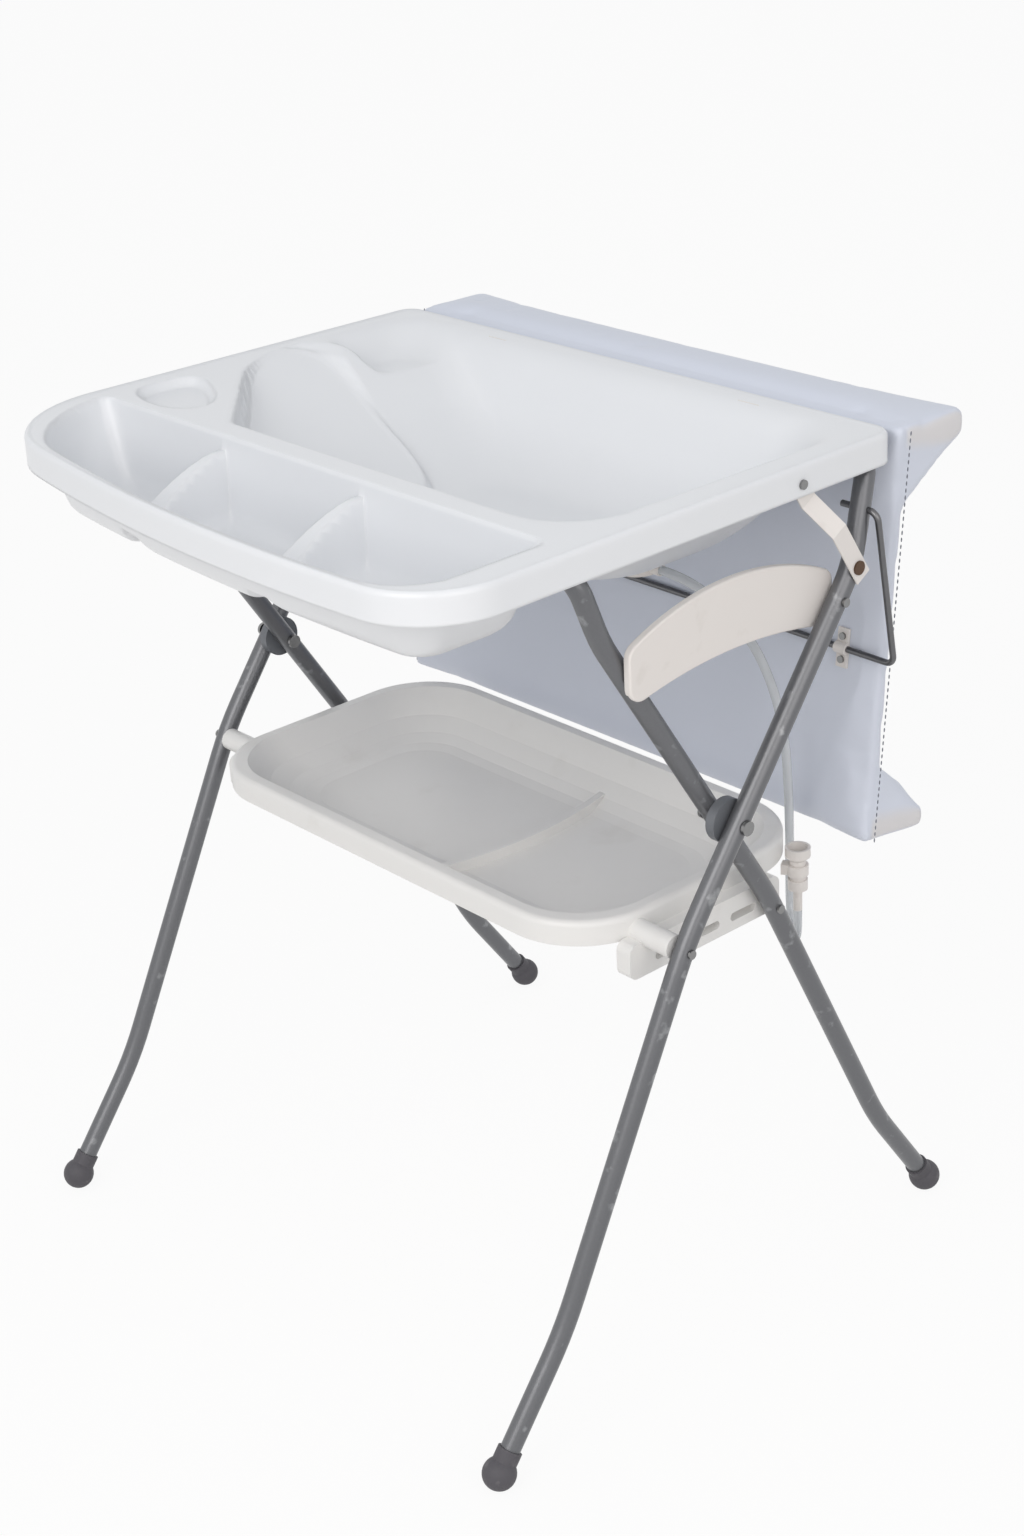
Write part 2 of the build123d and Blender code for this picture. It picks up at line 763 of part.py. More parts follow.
# Straps
skirt_x = tub_half_width + tub_flare * (pivot_y + rear_rim_reach - strap_screw_y) / side_run
strap_top_x = skirt_x - tub_wall - 2 * seat_gap
strap_low_x = outer_half_span + tube_radius + 2 * seat_gap + strap_thickness
strap_way = Vector(0, math.cos(math.radians(strap_angle)), -math.sin(math.radians(strap_angle)))
strap_plane = Plane(
    origin=(0, strap_screw_y, strap_screw_z), x_dir=(1, 0, 0), z_dir=Vector(1, 0, 0).cross(strap_way)
)
rivet_y = strap_screw_y + strap_way.Y * strap_run
rivet_z = strap_screw_z + strap_way.Z * strap_run

with BuildPart() as strap_right:
    with BuildSketch(strap_plane):
        with BuildLine():
            Polyline(
                (strap_top_x, -strap_top_end),
                (strap_top_x, strap_crank_start),
                (strap_low_x, strap_crank_end),
                (strap_low_x, strap_run + strap_tail),
                (strap_low_x - strap_thickness, strap_run + strap_tail),
                (strap_low_x - strap_thickness, strap_crank_end),
                (strap_top_x - strap_thickness, strap_crank_start),
                (strap_top_x - strap_thickness, -strap_top_end),
                close=True,
            )
        make_face()
    extrude(amount=strap_width / 2, both=True)
    cross_hole(strap_top_x, strap_screw_y, strap_screw_z, screw_radius + running, overrun)
    cross_hole(strap_low_x, rivet_y, rivet_z, rivet_hole_radius, overrun)
keep(strap_right, "strap_right")

with BuildPart() as strap_left:
    add(mirror(strap_right.part, about=Plane.YZ, mode=Mode.PRIVATE))
keep(strap_left, "strap_left")

skirt_screws = screws([(skirt_x + seat_gap, strap_top_x - 2 * strap_thickness, strap_screw_y, strap_screw_z)])
keep(skirt_screws, "skirt_screws")


def rivet(side):
    """A hollow rivet that holds the end of one strap."""
    with BuildPart() as eyelet:
        x_cylinder(side * strap_low_x, side * strap_thickness, rivet_y, rivet_z, rivet_radius)
        x_cylinder(side * strap_low_x, -side * strap_thickness, rivet_y, rivet_z, rivet_hole_radius - running)
    return eyelet


rivet_right = rivet(1)
keep(rivet_right, "strap_rivet_right")
rivet_left = rivet(-1)
keep(rivet_left, "strap_rivet_left")

# Drain
floor_top = tub_top - basin_depth
floor_under = floor_top - tub_wall
nozzle_z = floor_under - seat_gap - outlet_drop / 2

with BuildPart() as drain_outlet:
    with BuildSketch(Plane.XY.offset(floor_under)):
        with Locations((drain_x, drain_y)):
            Circle(outlet_radius)
    extrude(amount=-outlet_drop)
    x_cylinder(drain_x, nozzle_length, drain_y, nozzle_z, nozzle_radius)
    x_cylinder(drain_x, nozzle_length, drain_y, nozzle_z, hose_bore, Mode.SUBTRACT)
    with BuildSketch(Plane.XY.offset(floor_under)):
        with Locations((drain_x, drain_y)):
            Circle(drain_radius - tub_wall)
    extrude(amount=-outlet_drop + tub_wall, mode=Mode.SUBTRACT)
keep(drain_outlet, "drain_outlet")

with BuildPart() as drain_plug:
    with BuildSketch(Plane.XY.offset(floor_under)):
        with Locations((drain_x, drain_y)):
            Circle(drain_radius - running)
    extrude(amount=tub_wall)
    with BuildSketch(Plane.XY.offset(floor_top + running)):
        with Locations((drain_x, drain_y)):
            Circle(drain_radius + tub_wall)
    extrude(amount=tub_wall / 2)
    with BuildSketch(Plane.XY.offset(floor_top)):
        with Locations((drain_x, drain_y)):
            Circle(plug_knob_radius)
    extrude(amount=plug_knob_height)
    fillet(faces().sort_by(Axis.Z)[-1].edges(), radius=plug_knob_radius / 2)
keep(drain_plug, "drain_plug")

# Drain hose, from the outlet's nozzle to the connector on the tray. Each point is given in shares of the
# way across, back and down from the nozzle's root to the foot of the connector.
hose_way_shares = [
    (0.28, 0.0, 0.0),
    (0.56, 0.0, 0.0),
    (0.824, 0.148, 0.061),
    (0.976, 0.389, 0.164),
    (1.016, 0.630, 0.307),
    (0.968, 0.852, 0.465),
    (0.832, 1.074, 0.638),
    (0.672, 1.296, 0.820),
    (0.592, 1.398, 0.980),
    (0.586, 1.409, 1.069),
    (0.707, 1.290, 1.118),
    (0.879, 1.119, 1.118),
    (1.0, 1.0, 1.069),
    (1.0, 1.0, 1.0),
]
hose_points = [
    Vector(
        drain_x + across * (connector_x - drain_x),
        drain_y + back * (connector_y - drain_y),
        nozzle_z + down * (connector_foot - nozzle_z),
    )
    for across, back, down in hose_way_shares
]
bend_share = 0.45
hose_radii = []
for before, here, after in zip(hose_points, hose_points[1:], hose_points[2:]):
    turn = (here - before).get_angle(after - here)
    shorter = min((here - before).length, (after - here).length)
    hose_radii.append(bend_share * shorter / math.tan(math.radians(turn / 2)))
print("hose bend radii", [round(radius) for radius in hose_radii])

with BuildPart() as drain_hose:
    with BuildLine() as hose_line:
        FilletPolyline(*hose_points, radius=hose_radii)
    with BuildSketch(hose_line.line ^ 0):
        Circle(hose_radius)
    sweep(path=hose_line.line)
hose_length = sum(edge.length for edge in hose_line.edges())
print("hose length", round(hose_length))
keep(drain_hose, "drain_hose")

# radius and share of the height, up the outside of the connector and back down its mouth
connector_profile = [
    (0.0, 0.0), (stem_radius, 0.0), (stem_radius, 0.3), (step_radius, 0.34), (step_radius, 0.5),
    (neck_radius, 0.5), (neck_radius, 0.8), (mouth_radius, 0.86), (mouth_radius, 1.0),
    (mouth_inner_radius, 1.0), (bore_radius, 0.6), (0.0, 0.6),
]

with BuildPart() as hose_connector:
    with BuildSketch(Plane.XZ.offset(-connector_y)):
        with BuildLine():
            Polyline(
                [(connector_x + radius, connector_foot + connector_height * share)
                 for radius, share in connector_profile],
                close=True,
            )
        make_face()
    revolve(axis=Axis((connector_x, connector_y, 0), (0, 0, 1)))
keep(hose_connector, "hose_connector")


# Tray
def tray_outline(inset):
    """The tray's plan, a wide rounded oblong."""
    middle = pivot_y + (tray_rear - tray_front) / 2
    with Locations((0, middle)):
        RectangleRounded(
            2 * (tray_half_width - inset), tray_front + tray_rear - 2 * inset, tray_corner - inset / 2
        )


def tray_bowl(grow, mode):
    """The tray's hollow, grown by a wall for its underside."""
    full = tray_depth + grow
    sections = []
    for share in bay_shares:
        depth = share * full
        inset = tray_lip + tray_draft * depth / tray_depth + quarter_round(depth, full, tray_draft) - grow
        with BuildSketch(Plane.XY.offset(tray_top - depth)) as section:
            tray_outline(inset)
        sections.append(section.sketch)
    loft(sections, ruled=True, mode=mode)


tray_bracket_x = inner_half_span - tube_radius - bracket_clearance

with BuildPart() as tray:
    with BuildSketch(Plane.XY.offset(tray_top - tray_skirt)):
        tray_outline(0.0)
    extrude(amount=tray_skirt)
    fillet(faces().sort_by(Axis.Z)[-1].edges(), radius=rim_rounding)
    with BuildSketch(Plane.XY.offset(tray_top - tray_skirt)):
        tray_outline(tray_wall)
    extrude(amount=tray_skirt - tray_wall, mode=Mode.SUBTRACT)
    tray_bowl(tray_wall, Mode.ADD)
    # slotted brackets at both ends, with a boss for the outer leg's screw
    for side in (1, -1):
        with BuildSketch(Plane.YZ.offset(side * (tray_bracket_x - bracket_thickness))):
            with Locations((pivot_y, bracket_top - bracket_height / 2)):
                RectangleRounded(2 * bracket_half_length, bracket_height, bracket_height / 4)
            slot_pitch = 2 * bracket_half_length / (bracket_slots + 1)
            with Locations((pivot_y, bracket_top - bracket_height * slot_drop_share)):
                with GridLocations(slot_pitch, 0, bracket_slots, 1):
                    SlotOverall(
                        slot_pitch * slot_length_share, bracket_height * slot_height_share, mode=Mode.SUBTRACT
                    )
        extrude(amount=side * bracket_thickness)
        x_cylinder(
            side * (tray_bracket_x - bracket_thickness), side * (outer_half_span - tube_radius - seat_gap
            - tray_bracket_x + bracket_thickness), tray_pivot_y, tray_pivot_z, tray_boss_radius,
        )
    tray_bowl(0.0, Mode.SUBTRACT)
    # a low curved ridge divides the floor
    with BuildSketch(Plane.XY.offset(tray_top - tray_depth - tray_wall / 2)):
        with BuildLine():
            near = pivot_y - tray_front + tray_lip + tray_draft
            far = pivot_y + tray_rear - tray_lip - tray_draft
            for x in (ridge_x, ridge_x + ridge_width):
                ThreePointArc((x - ridge_bow, near), (x, (near + far) / 2), (x - ridge_bow, far))
            for y in (near, far):
                Line((ridge_x - ridge_bow, y), (ridge_x + ridge_width - ridge_bow, y))
        make_face()
    extrude(amount=ridge_height + tray_wall / 2)
    for side in (1, -1):
        x_cylinder(
            side * (tray_bracket_x - bracket_thickness / 2), side * (leg_gap + 2 * overrun), tray_pivot_y,
            tray_pivot_z, screw_radius + running, Mode.SUBTRACT,
        )
keep(tray, "tray")

tray_screw_tip = tray_bracket_x - bracket_thickness / 2 + seat_gap
tray_screws_outer = screws([(outer_half_span + tube_radius, tray_screw_tip, tray_pivot_y, tray_pivot_z)])
keep(tray_screws_outer, "tray_screws_outer")
tray_screws_inner = screws(
    [(inner_half_span + tube_radius, inner_half_span - tube_radius - seat_gap, tray_latch_y, tray_latch_z)]
)
keep(tray_screws_inner, "tray_screws_inner")

clip_z = connector_foot + connector_height * clip_share

with BuildPart() as hose_clip:
    with BuildSketch(Plane.XY.offset(clip_z - clip_height / 2)):
        with Locations((connector_x, connector_y)):
            Circle(neck_radius + seat_gap + clip_wall)
        # the arm runs in to the corner of the tray's skirt
        corner_x = tray_half_width - tray_corner
        corner_y = pivot_y + tray_rear - tray_corner
        away = Vector(connector_x - corner_x, connector_y - corner_y).normalized()
        start = Vector(corner_x, corner_y) + away * (tray_corner + seat_gap)
        side_step = Vector(-away.Y, away.X) * clip_height / 2
        with BuildLine():
            Polyline(
                start + side_step, Vector(connector_x, connector_y) + side_step,
                Vector(connector_x, connector_y) - side_step, start - side_step, close=True,
            )
        make_face()
        with Locations((connector_x, connector_y)):
            Circle(neck_radius + seat_gap, mode=Mode.SUBTRACT)
    extrude(amount=clip_height)
keep(hose_clip, "hose_clip")

# Changing panel: a plane along its underside, local x across the table and local y up the panel
pad_up = Vector(0, pad_top_y - pad_bottom_y, pad_top_z - pad_bottom_z)
pad_height = pad_up.length
pad_back = Vector(0, pad_up.Z, -pad_up.Y).normalized()
pad_middle = Vector(0, (pad_top_y + pad_bottom_y) / 2, (pad_top_z + pad_bottom_z) / 2)


def pad_plane(out):
    """A plane parallel to the panel, a distance behind its underside."""
    return Plane(origin=pad_middle + pad_back * out, x_dir=(-1, 0, 0), z_dir=pad_back)


panel_out_shares = (0.0, 0.08, 0.3, 0.7, 0.92, 1.0)
panel_inset_shares = (15.0, 3.0, 0.0, 0.0, 3.0, 15.0)

with BuildPart() as pad_panel:
    for out, inset in zip(panel_out_shares, panel_inset_shares):
        with BuildSketch(pad_plane(out * pad_thickness)):
            edge = inset * pad_crown
            RectangleRounded(2 * (pad_half_width - edge), pad_height - 2 * edge, pad_corner)
    loft(ruled=True)
    with BuildSketch(pad_plane((pad_thickness - pad_board_thickness) / 2)):
        Rectangle(2 * (pad_half_width - pad_board_margin), pad_height - 2 * pad_board_margin)
    extrude(amount=pad_board_thickness, mode=Mode.SUBTRACT)
keep(pad_panel, "pad_panel")

with BuildPart() as pad_board:
    with BuildSketch(pad_plane((pad_thickness - pad_board_thickness) / 2)):
        Rectangle(2 * (pad_half_width - pad_board_margin), pad_height - 2 * pad_board_margin)
    extrude(amount=pad_board_thickness)
keep(pad_board, "pad_board")

bolster_end_shares = (-1.0, -0.96, 0.96, 1.0)
bolster_scale_shares = (0.86, 1.0, 1.0, 0.86)


def bolster(depth, base, tip, end_height, way):
    """A wedge of foam across the panel's back, drawn in a little at both ends."""
    with BuildPart() as wedge:
        for end, scale in zip(bolster_end_shares, bolster_scale_shares):
            x = end * pad_half_width
            origin = pad_middle + pad_up.normalized() * way * end_height + pad_back * pad_thickness
            frame = Plane(origin=(x, origin.Y, origin.Z), x_dir=pad_back, z_dir=(1, 0, 0))
            rise = -way
            with BuildSketch(frame):
                with BuildLine():
                    Polyline(
                        (0, rise * base * (1 - scale) / 2),
                        (depth * scale, rise * base * (1 - scale) / 2),
                        (depth * scale, rise * (base * (1 - scale) / 2 + tip * scale)),
                        (0, rise * base * (1 + scale) / 2),
                        close=True,
                    )
                make_face()
                fillet(vertices(), radius=tip * scale / 4)
        loft(ruled=True)
    return wedge


bolster_top = bolster(bolster_depth, bolster_base, bolster_tip, pad_height / 2, 1)
keep(bolster_top, "bolster_top")
bolster_bottom = bolster(low_bolster_depth, low_bolster_base, low_bolster_tip, pad_height / 2, -1)
keep(bolster_bottom, "bolster_bottom")

# Bail: a wire loop hung in the outer legs, on which the panel turns
rod_height = pad_bottom_z + rod_share * pad_drop
rod_face_y = pad_bottom_y + rod_share * pad_lean
rod_centre = Vector(0, rod_face_y, rod_height) - pad_back * (bail_radius + seat_gap)
bail_pin_x = bail_pivot[0] - bail_pin_inset

with BuildPart() as bail:
    with BuildLine() as bail_path:
        FilletPolyline(
            (bail_pin_x, bail_pivot[1], bail_pivot[2]),
            (bail_arm_x, bail_pivot[1], bail_pivot[2]),
            (bail_arm_x, rod_centre.Y, rod_centre.Z),
            (-bail_arm_x, rod_centre.Y, rod_centre.Z),
            (-bail_arm_x, bail_pivot[1], bail_pivot[2]),
            (-bail_pin_x, bail_pivot[1], bail_pivot[2]),
            radius=bail_bend,
        )
    with BuildSketch(bail_path.line ^ 0):
        Circle(bail_radius)
    sweep(path=bail_path.line)
keep(bail, "bail")

rod_spot = Vector(0, rod_face_y, rod_height)


def clip_front(side):
    """The front face of one rod clip's plate."""
    spot = Vector(side * rod_clip_x, rod_spot.Y, rod_spot.Z)
    front = spot - pad_back * (rod_clip_thickness + seat_gap)
    return Plane(origin=front, x_dir=(1, 0, 0), z_dir=-pad_back)


with BuildPart() as rod_clips:
    for side in (1, -1):
        across = Plane(
            origin=(side * rod_clip_x - rod_clip_width / 2, rod_spot.Y, rod_spot.Z),
            x_dir=-pad_back, z_dir=(1, 0, 0),
        )
        with BuildSketch(across):
            with Locations((rod_clip_thickness / 2 + seat_gap, 0)):
                Rectangle(rod_clip_thickness, rod_clip_length)
            with Locations((bail_radius + seat_gap, 0)):
                Circle(bail_radius + running + rod_clip_thickness)
                Circle(bail_radius + running, mode=Mode.SUBTRACT)
            with Locations((-overrun / 2 + seat_gap, 0)):
                Rectangle(overrun, rod_clip_length, mode=Mode.SUBTRACT)
        extrude(amount=rod_clip_width)
        with BuildSketch(clip_front(side)):
            with GridLocations(0, rod_clip_screw_pitch, 1, 2):
                Circle(screw_radius)
        extrude(amount=-rod_clip_thickness, mode=Mode.SUBTRACT)
keep(rod_clips, "rod_clips")

with BuildPart() as clip_screws:
    for side in (1, -1):
        with BuildSketch(clip_front(side)):
            with GridLocations(0, rod_clip_screw_pitch, 1, 2):
                Circle(small_head_radius)
        extrude(amount=screw_head_height)
        with BuildSketch(clip_front(side)):
            with GridLocations(0, rod_clip_screw_pitch, 1, 2):
                Circle(screw_radius)
        extrude(amount=-rod_clip_thickness)
keep(clip_screws, "clip_screws")
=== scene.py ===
# %% [markdown]
# # A folding changing table with a baby bath
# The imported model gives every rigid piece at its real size. This lesson dresses it: smooth mouldings
# for the bath and the tray, padded vinyl for the changing panel, a soft hose, and a finish for each
# material. Everything is in metres, +Z up, with the parent standing on the -Y side.

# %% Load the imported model
import json
import math

import bmesh
import bpy
import numpy as np
from mathutils import Matrix, Vector


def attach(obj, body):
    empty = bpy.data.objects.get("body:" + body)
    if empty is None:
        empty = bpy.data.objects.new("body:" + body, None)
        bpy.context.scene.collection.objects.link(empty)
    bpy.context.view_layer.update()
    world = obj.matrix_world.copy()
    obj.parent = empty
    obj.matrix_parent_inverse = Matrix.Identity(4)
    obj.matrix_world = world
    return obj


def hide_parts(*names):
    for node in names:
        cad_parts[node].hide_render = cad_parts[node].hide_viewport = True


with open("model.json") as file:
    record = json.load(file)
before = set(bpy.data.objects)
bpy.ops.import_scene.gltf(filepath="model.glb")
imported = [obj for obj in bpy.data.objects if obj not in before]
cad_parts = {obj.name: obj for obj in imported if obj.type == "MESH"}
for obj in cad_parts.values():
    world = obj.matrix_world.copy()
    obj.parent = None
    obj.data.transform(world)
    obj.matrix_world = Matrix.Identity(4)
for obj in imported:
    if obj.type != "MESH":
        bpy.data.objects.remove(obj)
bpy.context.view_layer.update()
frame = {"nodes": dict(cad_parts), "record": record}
nodes = frame["nodes"]

# %% [markdown]
# ## The camera
# The photograph was taken from the front right, a little above the rim, with a short telephoto lens.
# The camera is built from its azimuth, its elevation and a slight roll, as three unit vectors.

# %% Camera
photo_height = 1536
focal_pixels = 2558.05
sensor = 36.0
camera_place = Vector((2.0011, -1.6700, 1.7927))
camera_azimuth = math.radians(49.246)
camera_elevation = math.radians(25.100)
camera_roll = math.radians(-3.052)


def camera_matrix():
    """Columns are the camera's right, up and back directions, then its place."""
    level = math.cos(camera_elevation)
    away_x, away_y = math.sin(camera_azimuth) * level, -math.cos(camera_azimuth) * level
    back = Vector((away_x, away_y, math.sin(camera_elevation)))
    right = (-back).cross(Vector((0, 0, 1))).normalized()
    up = right.cross(-back).normalized()
    turned_right = right * math.cos(camera_roll) + up * math.sin(camera_roll)
    turned_up = up * math.cos(camera_roll) - right * math.sin(camera_roll)
    matrix = Matrix((turned_right, turned_up, back)).transposed().to_4x4()
    matrix.translation = camera_place
    return matrix


camera_data = bpy.data.cameras.new("camera")
camera_data.sensor_width = sensor
camera_data.lens = sensor * focal_pixels / photo_height
camera_data.clip_end = 60.0
camera = bpy.data.objects.new("camera", camera_data)
camera.matrix_world = camera_matrix()
bpy.context.scene.collection.objects.link(camera)
bpy.context.scene.camera = camera
print("lens", round(camera_data.lens, 2), "mm")

# %% [markdown]
# ## Light
# A pale, slightly cool world lights the table almost evenly. A large warm lamp in front shades the
# mouldings, a weaker one fills in from the right, and a faint one hangs at the upper left. Camera, glossy
# and transmission rays see plain white instead, so the background stays white.

# %% World, lamps and floor
view = bpy.context.scene.view_settings
view.view_transform = "Standard"

world = bpy.data.worlds.new("studio")
bpy.context.scene.world = world
world.use_nodes = True
sky = world.node_tree.nodes
sky_links = world.node_tree.links
sky.clear()
sky_out = sky.new("ShaderNodeOutputWorld")
sky_mix = sky.new("ShaderNodeMixShader")
sky_light = sky.new("ShaderNodeBackground")
sky_seen = sky.new("ShaderNodeBackground")
sky_path = sky.new("ShaderNodeLightPath")
sky_any = sky.new("ShaderNodeMath")
sky_any.operation = "MAXIMUM"
sky_all = sky.new("ShaderNodeMath")
sky_all.operation = "MAXIMUM"
world_colour = (0.95, 0.97, 1.0, 1)
world_strength = 0.6
sky_light.inputs["Color"].default_value = world_colour
sky_light.inputs["Strength"].default_value = world_strength
sky_seen.inputs["Color"].default_value = (1, 1, 1, 1)
sky_seen.inputs["Strength"].default_value = 1.0
sky_links.new(sky_path.outputs["Is Camera Ray"], sky_any.inputs[0])
sky_links.new(sky_path.outputs["Is Glossy Ray"], sky_any.inputs[1])
sky_links.new(sky_any.outputs[0], sky_all.inputs[0])
sky_links.new(sky_path.outputs["Is Transmission Ray"], sky_all.inputs[1])
sky_links.new(sky_all.outputs[0], sky_mix.inputs[0])
sky_links.new(sky_light.outputs[0], sky_mix.inputs[1])
sky_links.new(sky_seen.outputs[0], sky_mix.inputs[2])
sky_links.new(sky_mix.outputs[0], sky_out.inputs[0])


def soft_lamp(name, place, aim, size, watts, colour):
    """A square area lamp that looks at a point."""
    data = bpy.data.lights.new(name, "AREA")
    data.size = size
    data.energy = watts
    data.color = colour
    lamp = bpy.data.objects.new(name, data)
    lamp.location = place
    lamp.rotation_euler = (Vector(aim) - Vector(place)).to_track_quat("-Z", "Y").to_euler()
    bpy.context.scene.collection.objects.link(lamp)


middle = (0.0, 0.0, 0.7)
soft_lamp("upper_left", (-1.6, -2.2, 3.2), middle, 2.6, 5, (1, 1, 1))
soft_lamp("front", (1.1, -2.9, 2.5), middle, 2.2, 43, (1, 0.97, 0.94))
soft_lamp("fill", (2.9, -0.7, 2.1), middle, 2.2, 22, (1, 0.955, 0.92))

floor_size = 30.0
floor_white = 0.92  # the share of plain white that the camera sees in the floor; the rest shows shadows
floor_mesh = bpy.data.meshes.new("floor")
floor_mesh.from_pydata(
    [(x * floor_size, y * floor_size, 0) for x, y in ((-1, -1), (1, -1), (1, 1), (-1, 1))], [], [(0, 1, 2, 3)]
)
floor = bpy.data.objects.new("floor", floor_mesh)
bpy.context.scene.collection.objects.link(floor)
floor_paper = bpy.data.materials.new("floor_paper")
floor_paper.use_nodes = True
paper = floor_paper.node_tree
paper.nodes.clear()
paper_out = paper.nodes.new("ShaderNodeOutputMaterial")
paper_mix = paper.nodes.new("ShaderNodeMixShader")
paper_diffuse = paper.nodes.new("ShaderNodeBsdfDiffuse")
paper_glow = paper.nodes.new("ShaderNodeEmission")
paper_path = paper.nodes.new("ShaderNodeLightPath")
paper_any = paper.nodes.new("ShaderNodeMath")
paper_any.operation = "MAXIMUM"
paper_all = paper.nodes.new("ShaderNodeMath")
paper_all.operation = "MAXIMUM"
paper_amount = paper.nodes.new("ShaderNodeMath")
paper_amount.operation = "MULTIPLY"
paper_amount.inputs[1].default_value = floor_white
paper_diffuse.inputs["Color"].default_value = (0.85, 0.835, 0.815, 1)
paper_glow.inputs["Color"].default_value = (1, 1, 1, 1)
paper.links.new(paper_path.outputs["Is Camera Ray"], paper_any.inputs[0])
paper.links.new(paper_path.outputs["Is Glossy Ray"], paper_any.inputs[1])
paper.links.new(paper_any.outputs[0], paper_all.inputs[0])
paper.links.new(paper_path.outputs["Is Transmission Ray"], paper_all.inputs[1])
paper.links.new(paper_all.outputs[0], paper_amount.inputs[0])
paper.links.new(paper_amount.outputs[0], paper_mix.inputs[0])
paper.links.new(paper_diffuse.outputs[0], paper_mix.inputs[1])
paper.links.new(paper_glow.outputs[0], paper_mix.inputs[2])
paper.links.new(paper_mix.outputs[0], paper_out.inputs[0])
floor.data.materials.append(floor_paper)

# %% [markdown]
# ## Finishes
# Every finish is a Principled shader with a little life in it: noise on Object coordinates varies the
# colour and the gloss by a few percent, and a finer noise bumps the surface, as a mould or paint does.


# %% A finish
def finish(name, colour, rough, tone=0.03, tone_scale=9.0, grain=0.05, grain_scale=220.0, depth=0.0002,
           metal=0.0, coat=0.0, coat_rough=0.1, sheen=0.0, see_through=0.0, specular=0.5):
    """Noise times tone shades the colour, noise times a tenth varies the gloss, and fine noise bumps it."""
    material = bpy.data.materials.new(name)
    material.use_nodes = True
    tree = material.node_tree
    shader = tree.nodes["Principled BSDF"]
    shader.inputs["Metallic"].default_value = metal
    shader.inputs["Coat Weight"].default_value = coat
    shader.inputs["Coat Roughness"].default_value = coat_rough
    shader.inputs["Sheen Weight"].default_value = sheen
    shader.inputs["Specular IOR Level"].default_value = specular
    shader.inputs["Transmission Weight"].default_value = see_through
    place = tree.nodes.new("ShaderNodeTexCoord")
    broad = tree.nodes.new("ShaderNodeTexNoise")
    broad.inputs["Scale"].default_value = tone_scale
    broad.inputs["Detail"].default_value = 4.0
    tree.links.new(place.outputs["Object"], broad.inputs["Vector"])
    shade = tree.nodes.new("ShaderNodeMix")
    shade.data_type = "RGBA"
    shade.inputs["A"].default_value = (*[c * (1 - tone) for c in colour], 1)
    shade.inputs["B"].default_value = (*[min(1.0, c * (1 + tone)) for c in colour], 1)
    tree.links.new(broad.outputs["Fac"], shade.inputs["Factor"])
    tree.links.new(shade.outputs["Result"], shader.inputs["Base Color"])
    gloss = tree.nodes.new("ShaderNodeMapRange")
    gloss.inputs["To Min"].default_value = rough * 0.9
    gloss.inputs["To Max"].default_value = min(1.0, rough * 1.1)
    tree.links.new(broad.outputs["Fac"], gloss.inputs["Value"])
    tree.links.new(gloss.outputs["Result"], shader.inputs["Roughness"])
    fine = tree.nodes.new("ShaderNodeTexNoise")
    fine.inputs["Scale"].default_value = grain_scale
    fine.inputs["Detail"].default_value = 3.0
    tree.links.new(place.outputs["Object"], fine.inputs["Vector"])
    bump = tree.nodes.new("ShaderNodeBump")
    bump.inputs["Strength"].default_value = grain
    bump.inputs["Distance"].default_value = depth
    tree.links.new(fine.outputs["Fac"], bump.inputs["Height"])
    tree.links.new(bump.outputs["Normal"], shader.inputs["Normal"])
    return material


def srgb(r, g, b):
    """A colour given in 0 to 255, made linear."""
    return [((c / 255 + 0.055) / 1.055) ** 2.4 if c > 10 else c / 255 / 12.92 for c in (r, g, b)]


def second_colour(material, attribute, colour):
    """Where the points' attribute is one, the finish takes another colour."""
    tree = material.node_tree
    base = tree.nodes["Principled BSDF"].inputs["Base Color"]
    first = base.links[0].from_socket
    mark = tree.nodes.new("ShaderNodeAttribute")
    mark.attribute_name = attribute
    choice = tree.nodes.new("ShaderNodeMix")
    choice.data_type = "RGBA"
    choice.inputs["B"].default_value = (*colour, 1)
    tree.links.new(mark.outputs["Fac"], choice.inputs["Factor"])
    tree.links.new(first, choice.inputs["A"])
    tree.links.new(choice.outputs["Result"], base)


def long_waves(material, across, along, height):
    """Broad waves under the fine grain: a noise stretched upwards feeds a second bump before the first."""
    tree = material.node_tree
    fine_bump = next(node for node in tree.nodes if node.type == "BUMP")
    place = next(node for node in tree.nodes if node.type == "TEX_COORD")
    stretch = tree.nodes.new("ShaderNodeMapping")
    stretch.inputs["Scale"].default_value = (across, across, along)
    wave = tree.nodes.new("ShaderNodeTexNoise")
    wave.inputs["Scale"].default_value = 1.0
    wave.inputs["Detail"].default_value = 1.5
    bump = tree.nodes.new("ShaderNodeBump")
    bump.inputs["Strength"].default_value = 0.6
    bump.inputs["Distance"].default_value = height
    tree.links.new(place.outputs["Object"], stretch.inputs["Vector"])
    tree.links.new(stretch.outputs["Vector"], wave.inputs["Vector"])
    tree.links.new(wave.outputs["Fac"], bump.inputs["Height"])
    tree.links.new(bump.outputs["Normal"], fine_bump.inputs["Normal"])


